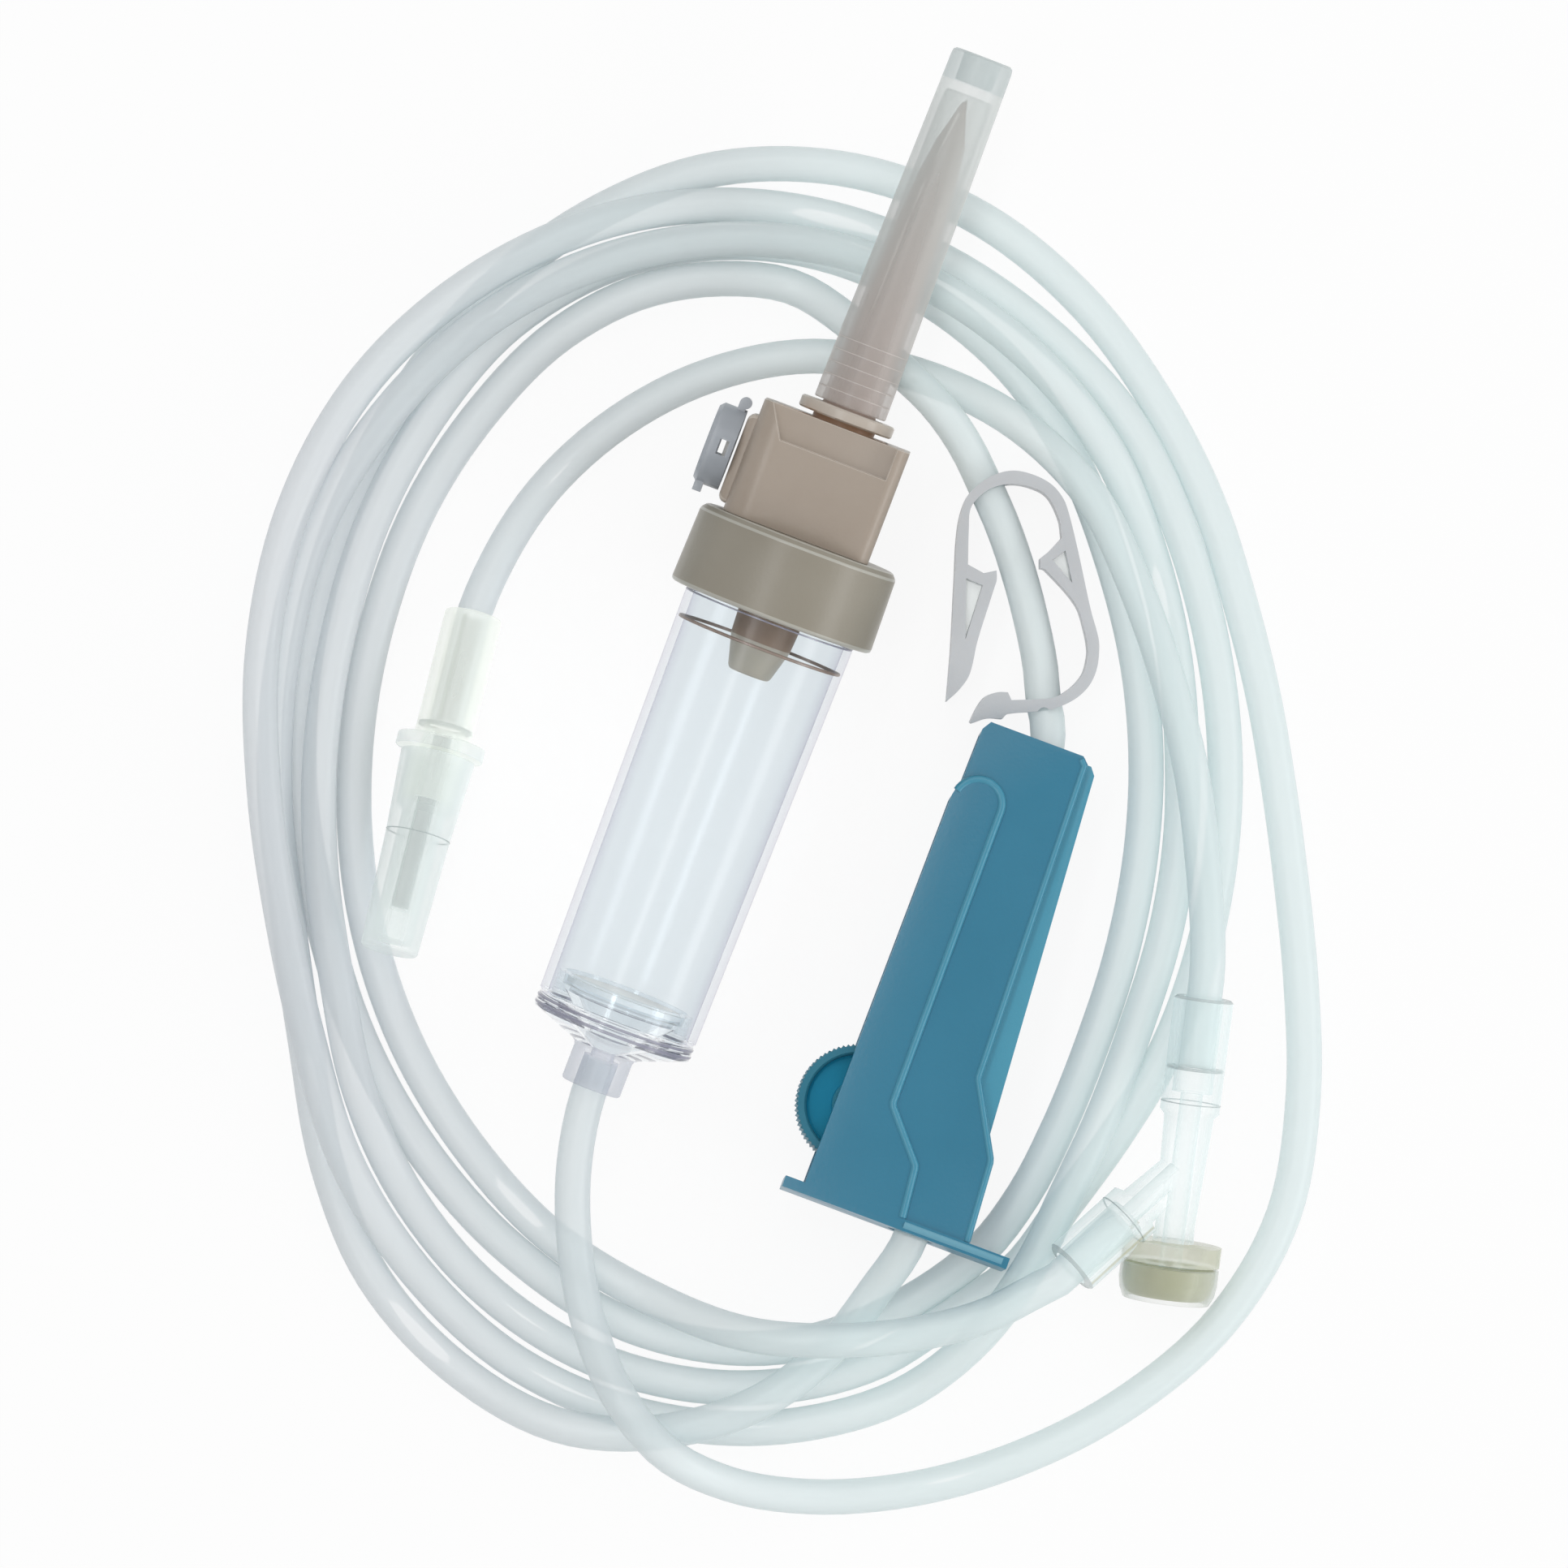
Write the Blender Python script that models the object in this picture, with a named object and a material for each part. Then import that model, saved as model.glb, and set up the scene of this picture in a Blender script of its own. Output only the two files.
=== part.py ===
# Gravity infusion set: spike and drip chamber, coiled line, pinch clamp, roller clamp, Y-site and luer.
# Lengths are in millimetres, turned to metres by MM. The line's route is kept about the middle of the coil.
import math

import bmesh
import bpy
import numpy as np
from mathutils import Matrix, Vector

for thing in list(bpy.data.objects):
    bpy.data.objects.remove(thing, do_unlink=True)

MM = 0.001
COIL_X = -2.6  # the middle of the coil, from the middle of the rigid pieces' box
COIL_Y = -12.8
GAP = 0.3  # between pieces that are fixed to each other or slide in each other

TUBE_R = 2.05
TUBE_WALL = 0.6
TUBE_STEP = 10.0
TUBE_ENDS = 16.0  # the route is followed more closely over this much of each end
SOCKET_R = TUBE_R + GAP
SOCKET_DEPTH = 8.0

# Spike, vent head and drip chamber, along the spike from the middle of the chamber's rim
SET_AT = (-18.78, -27.68, 9.5)
SET_HEADING = 20.92
SET_TILT = 3.02
RIM_R = 9.5
RIM_TOP = 1.7
SPOUT_R = 3.55
SPOUT_END = -6.8
CHAMBER_LOW = 2.0
CHAMBER_TOP = 54.2
CHAMBER_R_LOW = 9.55
CHAMBER_R_TOP = 10.2
CHAMBER_WALL = 1.0
FILTER_R = 7.0
COLLAR_LOW = 51.2
COLLAR_TOP = 60.8
COLLAR_R = 12.2
COLLAR_R_TOP = 11.95
COLLAR_PLUG_R = CHAMBER_R_TOP - CHAMBER_WALL - 0.4
NOZZLE_END = 44.0
NOZZLE_BORE = 1.3
BLOCK_LOW = COLLAR_TOP + GAP
BLOCK_TOP = 74.4
BLOCK_DEPTH = 7.5
VENT_AT = 67.4
PORT_R = 4.0
PORT_BORE = 2.9
PORT_END = 12.9
VENT_CAP_R = 4.85
VENT_CAP_FACE = 14.0
VENT_HINGE_X = 11.3
VENT_HINGE_S = 73.0
FLANGE_LOW = 75.0
FLANGE_TOP = 76.4
FLANGE_R = 5.65
SPIKE_R = 3.0
SPIKE_FLAT = 2.2
SPIKE_TIP = 114.4
SPIKE_BORE = 0.85
AIR_BORE = 0.5
CAP_LOW = FLANGE_TOP + GAP
CAP_END = 119.6
CAP_INSIDE = 114.9
CAP_R_LOW = 4.35
CAP_R_END = 3.65

# Roller clamp: x from the wheel to the ramp, y from the flange to the far end, z across the plates
CLAMP_AT = (0.65, -45.48, 10.48)
CLAMP_X = (0.9373, -0.3486)
CLAMP_TILT = 4.2
PLATE_OUT = 5.6
PLATE_IN = 4.4
PAD_OUT = 6.2
GROOVE_OUT = 5.2
GROOVE_HALF = 1.5
CHANNEL_OUT = 3.6
CHANNEL_IN = 2.6
WHEEL_R = 7.0
WHEEL_HALF = 3.8
WHEEL_TEETH = 48
AXLE_R = GROOVE_HALF - GAP
AXLE_HALF = 5.0
WHEEL_AT = (4.85, 11.79)
WHEEL_FAR = (5.78, 48.46)
TUBE_HOLE_R = 2.75

# Pinch clamp, from the floor up, about its middle
PINCH_AT = (28.6, 22.4)
PINCH_DEPTH = 8.0
PINCH_WEB = 6.0
PINCH_HOLE_R = 2.55

# Y-site, along its leg from the foot of the stopper
Y_AT = (44.97, -58.72, 5.8)
Y_HEADING = 7.2
Y_TILT = 3.1
Y_ROLL = 19.0
Y_TOP = 35.3
Y_SOCKET_R = 3.45
Y_SOCKET_LOW = 22.1
STOPPER_R = 5.7
SHROUD_TOP = 4.2
ARM_END = (12.1, 2.77)
ARM_ROOT = (0.72, 14.95)
ARM_SOCKET = 10.6

# Luer end, from the tip of its cap
LUER_AT = (-44.36, -18.36, 10.1)
LUER_HEADING = 13.9
LUER_TILT = -9.5
LUER_CAP_LOW = 23.4
LUER_FLANGE = (23.7, 25.2)
LUER_FLANGE_R = 5.15
SLEEVE_R = 3.35
SLEEVE_LOW = 18.0
SLEEVE_TOP = 40.5
LUER_TUBE_END = 27.1

ROUTES = {}


def smoothPath(points, step):
    """Points about step apart along a smooth curve through the given ones, closer at both ends."""
    pts = np.array(points, float)
    gaps = np.linalg.norm(np.diff(pts, axis=0), axis=1)[:, None]
    slope = np.diff(pts, axis=0) / gaps
    middle = (slope[:-1] * gaps[1:] + slope[1:] * gaps[:-1]) / (gaps[:-1] + gaps[1:])
    way = np.vstack([slope[:1], middle, slope[-1:]])
    fine = []
    for i, gap in enumerate(gaps):
        for t in np.linspace(0, 1, 16, endpoint=False):
            fine.append((2 * t ** 3 - 3 * t * t + 1) * pts[i] + (3 * t * t - 2 * t ** 3) * pts[i + 1]
                        + gap * ((t ** 3 - 2 * t * t + t) * way[i] + (t ** 3 - t * t) * way[i + 1]))
    fine = np.array(fine + [pts[-1]])
    run = np.concatenate([[0], np.cumsum(np.linalg.norm(np.diff(fine, axis=0), axis=1))])
    count = int(round((run[-1] - 2 * TUBE_ENDS) / step)) + 1
    near = np.arange(0, TUBE_ENDS, 4.0)
    at = np.concatenate([near, np.linspace(TUBE_ENDS, run[-1] - TUBE_ENDS, count), run[-1] - near[::-1]])
    return np.stack([np.interp(at, run, fine[:, k]) for k in range(3)], axis=1)


def material(name, colour, alpha=1.0, rough=0.4):
    made = bpy.data.materials.new(name)
    made.use_nodes = True
    shader = made.node_tree.nodes["Principled BSDF"]
    shader.inputs["Base Color"].default_value = (*colour, 1.0)
    shader.inputs["Roughness"].default_value = rough
    shader.inputs["Alpha"].default_value = alpha
    made.diffuse_color = (*colour, alpha)
    return made


def placeAt(origin, zAxis, xAxis, roll=0.0):
    """A frame in the part's own metres, from an origin about the coil and two directions."""
    z = Vector(zAxis).normalized()
    x = Vector(xAxis)
    x = (x - x.dot(z) * z).normalized()
    y = z.cross(x)
    turn = Matrix((x, y, z)).transposed().to_4x4() @ Matrix.Rotation(math.radians(roll), 4, "Z")
    x0, y0, z0 = origin
    return Matrix.Translation(Vector(((x0 + COIL_X) * MM, (y0 + COIL_Y) * MM, z0 * MM))) @ turn


def heading(angle, tilt):
    a, t = math.radians(angle), math.radians(tilt)
    return (math.sin(a) * math.cos(t), math.cos(a) * math.cos(t), math.sin(t))


def leftOf(angle):
    a = math.radians(angle)
    return (-math.cos(a), math.sin(a), 0.0)


def shifted(place, x, y, z):
    return place @ Matrix.Translation(Vector((x, y, z)) * MM)


def turned(place, along):
    """The same origin with local z turned to a local direction."""
    return place @ Vector((0, 0, 1)).rotation_difference(Vector(along)).to_matrix().to_4x4()


def addMesh(name, verts, faces, place):
    data = bpy.data.meshes.new(name)
    data.from_pydata([tuple(c * MM for c in v) for v in verts], [], faces)
    shape = bmesh.new()
    shape.from_mesh(data)
    bmesh.ops.recalc_face_normals(shape, faces=shape.faces)
    if shape.calc_volume(signed=True) < 0:
        bmesh.ops.reverse_faces(shape, faces=shape.faces)
    shape.to_mesh(data)
    shape.free()
    made = bpy.data.objects.new(name, data)
    bpy.context.scene.collection.objects.link(made)
    made.matrix_world = place
    return made


def lathe(name, place, profile, count=48, teeth=0.0, toothFrom=1e9, phase=0.0):
    """A turned piece from (radius, height) points. The profile closes on itself or on the axis."""
    verts, rings = [], []
    for radius, height in profile:
        if radius < 1e-6:
            rings.append([len(verts)] * count)
            verts.append((0.0, 0.0, height))
            continue
        rings.append(list(range(len(verts), len(verts) + count)))
        for k in range(count):
            a = 2 * math.pi * k / count + phase
            r = radius - (teeth if radius >= toothFrom and k % 2 else 0.0)
            verts.append((r * math.cos(a), r * math.sin(a), height))
    pairs = list(zip(rings, rings[1:]))
    if profile[0][0] > 1e-6:
        pairs.append((rings[-1], rings[0]))
    faces = []
    for low, high in pairs:
        for k in range(count):
            n = (k + 1) % count
            corners = []
            for corner in (low[k], low[n], high[n], high[k]):
                if corner not in corners:
                    corners.append(corner)
            if len(corners) > 2:
                faces.append(corners)
    return addMesh(name, verts, faces, place)


def slab(name, place, outline, low, high):
    """A flat outline of (x, y) points, thickened along local z."""
    count = len(outline)
    verts = [(x, y, low) for x, y in outline] + [(x, y, high) for x, y in outline]
    faces = [list(range(count))[::-1], list(range(count, 2 * count))]
    for k in range(count):
        n = (k + 1) % count
        faces.append([k, n, count + n, count + k])
    return addMesh(name, verts, faces, place)


def block(name, place, low, high):
    outline = [(low[0], low[1]), (high[0], low[1]), (high[0], high[1]), (low[0], high[1])]
    return slab(name, place, outline, low[2], high[2])


def rod(name, place, start, end, radius, count=32):
    a, b = Vector(start), Vector(end)
    profile = [(0, 0), (radius, 0), (radius, (b - a).length), (0, (b - a).length)]
    return lathe(name, turned(shifted(place, *a), b - a), profile, count, phase=0.053)


def bake(body):
    """Turns the modifiers' result into the object's own mesh."""
    bpy.context.view_layer.update()
    graph = bpy.context.evaluated_depsgraph_get()
    made = bpy.data.meshes.new_from_object(body.evaluated_get(graph))
    body.modifiers.clear()
    body.data = made
    return body


def combine(body, *others, how="UNION"):
    for other in others:
        step = body.modifiers.new(how.title(), "BOOLEAN")
        step.operation = how
        step.solver = "EXACT"
        step.object = other
        bake(body)
        bpy.data.objects.remove(other, do_unlink=True)
    return body


def carve(body, *others):
    return combine(body, *others, how="DIFFERENCE")


def soften(body, width, angle=50, segments=2):
    step = body.modifiers.new("Bevel", "BEVEL")
    step.width = width * MM
    step.segments = segments
    step.limit_method = "ANGLE"
    step.angle_limit = math.radians(angle)
    return bake(body)


def finish(body, name, look, angle=35):
    body.name = name
    body.data.name = name
    body.data.materials.clear()
    body.data.materials.append(look)
    body.data.polygons.foreach_set("use_smooth", [True] * len(body.data.polygons))
    body.data.set_sharp_from_angle(angle=math.radians(angle))
    return body


def roundedOutline(left, right, front, back, power, count):
    """A superellipse that reaches left and right by different amounts."""
    outline = []
    for k in range(count):
        a = 2 * math.pi * k / count
        c, s = math.cos(a), math.sin(a)
        x = math.copysign(abs(c) ** (2 / power), c) * (left if c > 0 else right)
        y = math.copysign(abs(s) ** (2 / power), s) * (front if s > 0 else back)
        outline.append((x, y))
    return outline


def tubeAlong(name, points, look):
    path = smoothPath(points, TUBE_STEP)
    ROUTES[name] = path
    curve = bpy.data.curves.new(name, "CURVE")
    curve.dimensions = "3D"
    curve.bevel_depth = TUBE_R * MM
    curve.bevel_resolution = 2
    curve.use_fill_caps = False
    line = curve.splines.new("POLY")
    line.points.add(len(path) - 1)
    for spot, (x, y, z) in zip(line.points, path):
        spot.co = ((x + COIL_X) * MM, (y + COIL_Y) * MM, z * MM, 1.0)
    line.use_smooth = True
    tube = bpy.data.objects.new(name, curve)
    bpy.context.scene.collection.objects.link(tube)
    tube.data.materials.append(look)
    wall = tube.modifiers.new("Wall", "SOLIDIFY")
    wall.thickness = TUBE_WALL * MM
    wall.offset = -1
    return tube


def polar(angle, radius, height):
    """A point of the route: degrees about the coil, millimetres out, millimetres up."""
    a = math.radians(angle)
    return (radius * math.cos(a), radius * math.sin(a), height)


clearPlastic = material("clear_plastic", (0.86, 0.9, 0.9), 0.35, 0.08)
tubePlastic = material("tube_plastic", (0.82, 0.85, 0.83), 0.5, 0.2)
headPlastic = material("head_plastic", (0.62, 0.53, 0.45), 1.0, 0.35)
collarPlastic = material("collar_plastic", (0.47, 0.43, 0.37), 1.0, 0.35)
capPlastic = material("cap_plastic", (0.62, 0.6, 0.55), 0.6, 0.35)
ventPlastic = material("vent_plastic", (0.72, 0.8, 0.84), 0.7, 0.3)
filterFelt = material("filter_felt", (0.8, 0.8, 0.78), 1.0, 0.9)
clampBlue = material("clamp_blue", (0.07, 0.27, 0.42), 1.0, 0.35)
whitePlastic = material("white_plastic", (0.8, 0.8, 0.84), 1.0, 0.35)
bungRubber = material("bung_rubber", (0.5, 0.45, 0.33), 1.0, 0.6)
sleevePlastic = material("sleeve_plastic", (0.72, 0.75, 0.5), 0.7, 0.3)
luerPlastic = material("luer_plastic", (0.85, 0.88, 0.88), 0.6, 0.25)

# Drip chamber and what it is joined to
spikeSet = placeAt(SET_AT, heading(SET_HEADING, SET_TILT), leftOf(SET_HEADING))

chamber = lathe("drip_chamber", spikeSet, [
    (CHAMBER_R_LOW - CHAMBER_WALL, CHAMBER_LOW), (CHAMBER_R_LOW, CHAMBER_LOW),
    (CHAMBER_R_TOP, 49.9), (CHAMBER_R_TOP, CHAMBER_TOP),
    (CHAMBER_R_TOP - CHAMBER_WALL, CHAMBER_TOP), (CHAMBER_R_TOP - CHAMBER_WALL, 49.9)], 32)
finish(chamber, "drip_chamber", clearPlastic)

plugR = CHAMBER_R_LOW - CHAMBER_WALL - 0.35
base = lathe("chamber_base", spikeSet, [
    (SOCKET_R, SPOUT_END), (SPOUT_R, SPOUT_END), (SPOUT_R, -2.6), (4.1, -2.05),
    (RIM_R - 0.3, -0.1), (RIM_R, 0.2), (RIM_R, RIM_TOP), (plugR, RIM_TOP), (plugR, 4.8), (7.4, 5.0),
    (7.3, 3.6), (6.3, 3.6), (6.3, 2.9), (1.4, -1.6), (1.4, -3.2), (SOCKET_R, -3.2)], 40)
carve(base,
      block("cut", spikeSet, (RIM_R - 0.5, -1.0, -0.6), (RIM_R + 1, 1.0, 0.9)),
      block("cut", spikeSet, (-RIM_R - 1, -1.0, -0.6), (-RIM_R + 0.5, 1.0, 0.9)))
finish(base, "chamber_base", clearPlastic)

filterDisc = lathe("fluid_filter", spikeSet, [(0, 3.95), (FILTER_R, 3.95), (FILTER_R, 4.55), (0, 4.55)], 32)
finish(filterDisc, "fluid_filter", filterFelt)

collar = lathe("chamber_collar", spikeSet, [
    (NOZZLE_BORE, NOZZLE_END), (2.3, NOZZLE_END), (2.6, NOZZLE_END + 0.4), (3.6, 48.0), (3.8, COLLAR_LOW),
    (3.8, 52.4), (COLLAR_PLUG_R, 52.4), (COLLAR_PLUG_R, CHAMBER_TOP + 0.4),
    (CHAMBER_R_TOP + 0.35, CHAMBER_TOP + 0.4),
    (CHAMBER_R_TOP + 0.35, COLLAR_LOW), (COLLAR_R - 0.2, COLLAR_LOW), (COLLAR_R, COLLAR_LOW + 0.3),
    (COLLAR_R_TOP, COLLAR_TOP - 0.7), (COLLAR_R_TOP - 0.6, COLLAR_TOP), (NOZZLE_BORE, COLLAR_TOP)], 32)
finish(collar, "chamber_collar", collarPlastic)

# Vent head and spike, one moulding
head = slab("head", spikeSet, roundedOutline(9.4, 8.3, BLOCK_DEPTH, BLOCK_DEPTH, 3.6, 32), BLOCK_LOW, BLOCK_TOP)
soften(head, 0.7)
portPlace = turned(shifted(spikeSet, 0, 0, VENT_AT), (1, 0, 0))
combine(head,
        lathe("port", portPlace, [(0, 3), (PORT_R, 3), (PORT_R, PORT_END), (0, PORT_END)], 28),
        soften(slab("post", spikeSet, [(6.5, -4.4), (9.6, -4.4), (10.45, -3.6), (10.45, 3.6), (9.6, 4.4),
                                       (6.5, 4.4)], BLOCK_LOW + 0.5, VENT_HINGE_S - 0.7), 0.5),
        lathe("spike", spikeSet, [
            (0, BLOCK_TOP - 2.1), (3.75, BLOCK_TOP - 2.1), (3.75, FLANGE_LOW),
            (FLANGE_R - 0.2, FLANGE_LOW), (FLANGE_R, FLANGE_LOW + 0.2),
            (FLANGE_R, FLANGE_TOP - 0.2), (FLANGE_R - 0.2, FLANGE_TOP), (SPIKE_R + 0.3, FLANGE_TOP),
            (SPIKE_R, FLANGE_TOP + 0.6), (2.65, 100.0), (2.3, 105.0), (1.75, 109.0), (1.05, 112.2),
            (0.5, 113.9),
            (0, SPIKE_TIP)], 28, phase=0.02))
carve(head,
      slab("cut", turned(spikeSet, (0, 1, 0)), [(-6.8, -70.6), (6.2, -70.6), (9.9, -BLOCK_TOP - 1),
                                                (-6.8, -BLOCK_TOP - 1)], BLOCK_DEPTH - 1.3, BLOCK_DEPTH + 2),
      block("cut", spikeSet, (-3.6, SPIKE_FLAT, 78.6), (0.8, 4.0, 104.0)),
      block("cut", spikeSet, (-0.8, -4.0, 78.6), (3.6, -SPIKE_FLAT, 104.0)),
      lathe("cut", portPlace, [(0, 9.5), (PORT_BORE, 9.5), (PORT_BORE, 15), (0, 15)], 32, phase=0.053),
      rod("cut", spikeSet, (-0.85, 0, BLOCK_LOW - 1), (-0.85, 0, SPIKE_TIP + 1), SPIKE_BORE, 20),
      rod("cut", spikeSet, (1.2, 0, VENT_AT - 0.3), (1.2, 0, SPIKE_TIP + 1), AIR_BORE, 16),
      block("cut", spikeSet, (0.4, -0.7, VENT_AT - 0.5), (10.2, 0.7, VENT_AT + 0.9)))
finish(head, "spike_head", headPlastic)

ventDisc = lathe("vent_filter", portPlace, [(0, 11.2), (2.6, 11.2), (2.6, 11.8), (0, 11.8)], 32)
finish(ventDisc, "vent_filter", filterFelt)

hingePlace = turned(shifted(spikeSet, VENT_HINGE_X, 0, VENT_HINGE_S), (1, 0, 0))
ventCap = lathe("vent_cap", portPlace, [
    (PORT_R + GAP, 10.8), (VENT_CAP_R, 10.8), (VENT_CAP_R, VENT_CAP_FACE - 0.5),
    (VENT_CAP_R - 0.5, VENT_CAP_FACE), (0, VENT_CAP_FACE), (0, 13.2), (PORT_R + GAP, 13.2)][::-1], 28)
combine(ventCap,
        block("strap", spikeSet, (VENT_HINGE_X - 0.2, -1.4, VENT_AT + PORT_R + 0.5),
              (VENT_HINGE_X + 0.7, 1.4, VENT_HINGE_S)),
        rod("barrel", spikeSet, (VENT_HINGE_X, -1.6, VENT_HINGE_S), (VENT_HINGE_X, 1.6, VENT_HINGE_S), 0.7, 20),
        block("lip", spikeSet, (12.6, -1.6, VENT_AT - VENT_CAP_R - 0.9),
              (13.6, 1.6, VENT_AT - VENT_CAP_R + 0.6)))
carve(ventCap,
      block("cut", spikeSet, (11.4, -7, VENT_AT - 0.9), (12.5, -3, VENT_AT + 0.9)),
      block("cut", spikeSet, (11.4, 3, VENT_AT - 0.9), (12.5, 7, VENT_AT + 0.9)))
move = hingePlace.inverted() @ ventCap.matrix_world
ventCap.data.transform(move)
ventCap.matrix_world = hingePlace
finish(ventCap, "vent_cap", ventPlastic)

capProfile = [(0, CAP_INSIDE), (2.75, CAP_INSIDE), (2.9, 113.0), (3.4, 78.0), (3.5, CAP_LOW),
              (CAP_R_LOW, CAP_LOW)]
for k in range(5):
    s = 78.2 + 1.5 * k
    r = CAP_R_LOW - (CAP_R_LOW - CAP_R_END) * (s - CAP_LOW) / (CAP_END - CAP_LOW)
    capProfile += [(r, s - 0.35), (r + 0.2, s - 0.2), (r + 0.2, s + 0.2), (r, s + 0.35)]
capProfile += [(CAP_R_END, CAP_END - 0.6), (CAP_R_END - 0.3, CAP_END), (2.3, CAP_END), (2.2, 116.2), (0, 116.2)]
spikeCap = lathe("spike_cap", spikeSet, capProfile, 48)
finish(spikeCap, "spike_cap", capPlastic)

# Roller clamp
cx, cy = CLAMP_X
tilt = math.radians(CLAMP_TILT)
clampY = (-cy * math.cos(tilt), cx * math.cos(tilt), -math.sin(tilt))
clampZ = Vector((cx, cy, 0)).cross(Vector(clampY))
clamp = placeAt(CLAMP_AT, clampZ, (cx, cy, 0))

plates = [(2.3, 1.0), (2.3, 3.9), (3.35, 57.2), (4.0, 58.25), (15.3, 58.25), (16.1, 57.5),
          (17.05, 19.6), (21.6, 11.3), (22.4, 1.0)]
trough = [(14.0, 1.0), (14.0, 57.6), (16.6, 57.6), (17.3, 56.7), (20.4, 12.9), (21.0, 1.0)]
house = slab("house", clamp, plates, -PLATE_OUT, PLATE_OUT)
padEdge = [(2.35, 1.0), (2.35, 9.0), (2.95, 50.0)]
for k in range(9):
    a = math.pi - math.pi * k / 8
    padEdge.append((5.78 + 3.1 * math.cos(a), 48.9 + 3.1 * math.sin(a)))
padEdge += [(8.87, 13.3), (13.8, 7.4), (14.5, 1.0)]
padEdge = [p for p in padEdge if p != (2.95, 50.0)]
combine(house,
        slab("trough", clamp, trough, -CHANNEL_OUT, CHANNEL_OUT),
        slab("pad", clamp, padEdge, -PAD_OUT, PAD_OUT),
        block("flange", clamp, (0.0, 0.0, -PAD_OUT), (27.3, 1.3, PAD_OUT)),
        block("foot", clamp, (0.0, 0.9, -4.0), (0.8, 3.0, 4.0)))
room = [(-3.0, 1.3), (-3.0, 56.95), (14.9, 56.95), (15.9, 19.6), (15.9, 1.3)]
lane = [(13.0, 1.3), (13.0, 56.95), (16.45, 56.95), (19.55, 12.9), (20.1, 1.3)]
grooveDir = Vector((WHEEL_FAR[0] - WHEEL_AT[0], WHEEL_FAR[1] - WHEEL_AT[1], 0)).normalized()
grooveSide = Vector((grooveDir.y, -grooveDir.x, 0)) * GROOVE_HALF
start = Vector((*WHEEL_AT, 0)) - grooveDir * GROOVE_HALF
end = Vector((*WHEEL_FAR, 0)) + grooveDir * GROOVE_HALF
groove = [(start + grooveSide)[:2], (end + grooveSide)[:2], (end - grooveSide)[:2], (start - grooveSide)[:2]]
carve(house,
      slab("cut", clamp, room, -PLATE_IN, PLATE_IN),
      slab("cut", clamp, lane, -CHANNEL_IN, CHANNEL_IN),
      slab("cut", clamp, groove, -GROOVE_OUT, GROOVE_OUT),
      rod("cut", clamp, (15.9, -3, 0), (15.75, 4, 0), TUBE_HOLE_R),
      rod("cut", clamp, (12.3, 54.0, 0), (10.2, 62, 0), TUBE_HOLE_R))
finish(house, "roller_housing", clampBlue)

wheelPlace = shifted(clamp, *WHEEL_AT, 0)
axle = lathe("roller_axle", wheelPlace, [
    (0, -AXLE_HALF), (AXLE_R - 0.2, -AXLE_HALF), (AXLE_R, -AXLE_HALF + 0.2), (AXLE_R, AXLE_HALF - 0.2),
    (AXLE_R - 0.2, AXLE_HALF), (0, AXLE_HALF)], 24)
finish(axle, "roller_axle", clampBlue)
wheel = lathe("roller_wheel", wheelPlace, [
    (AXLE_R + GAP, -WHEEL_HALF), (2.7, -WHEEL_HALF), (3.0, -2.4), (5.6, -2.4), (5.8, -WHEEL_HALF),
    (WHEEL_R, -WHEEL_HALF + 0.3), (WHEEL_R, WHEEL_HALF - 0.3), (5.8, WHEEL_HALF), (5.6, 2.4), (3.0, 2.4),
    (2.7, WHEEL_HALF), (AXLE_R + GAP, WHEEL_HALF)], 2 * WHEEL_TEETH, 0.4, WHEEL_R - 0.01)
finish(wheel, "roller_wheel", clampBlue, 20)

# Pinch clamp: one springy strip that the line runs through
PINCH_STRIP = [
    (-8.9, -12.1), (-8.4, -6.1), (-8.0, 1.4), (-7.6, 7.9), (-6.7, 11.2), (-5.3, 12.8), (-3.4, 14.0),
    (-1.3, 14.5), (0.9, 14.1), (3.1, 13.0), (4.5, 11.4), (5.2, 9.6), (6.3, 5.1), (7.7, -1.4),
    (8.6, -4.7), (8.7, -6.1), (8.4, -8.4), (7.5, -10.3), (5.9, -11.8), (3.5, -12.9), (1.7, -13.2),
    (-1.8, -13.5), (-2.5, -14.1), (-4.1, -14.0), (-6.0, -14.6), (-6.2, -14.4), (-5.3, -12.6), (-4.4, -11.5),
    (-3.0, -11.0), (-1.8, -11.0), (-1.4, -11.9), (1.7, -11.8), (3.5, -11.6), (5.4, -10.5), (6.8, -8.9),
    (7.3, -7.2), (7.4, -6.1), (7.0, -3.8), (6.0, -0.9), (2.5, 3.1), (1.9, 3.3), (1.9, 4.4), (3.0, 5.3),
    (4.4, 6.8), (4.1, 8.9), (2.8, 11.5), (1.2, 12.5), (-1.1, 13.0), (-3.4, 12.6), (-5.1, 11.5),
    (-6.1, 10.1), (-6.3, 7.9), (-6.4, 3.7), (-4.6, 2.7), (-3.1, 3.0), (-3.1, 1.9), (-3.4, 0.9),
    (-5.3, -5.1), (-6.2, -8.9), (-7.4, -10.7)]
pinch = placeAt((PINCH_AT[0], PINCH_AT[1], 0), (0, 0, 1), (1, 0, 0))
clip = slab("clip", pinch, PINCH_STRIP, 0, PINCH_DEPTH)
soften(clip, 0.25, 60, 1)
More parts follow.
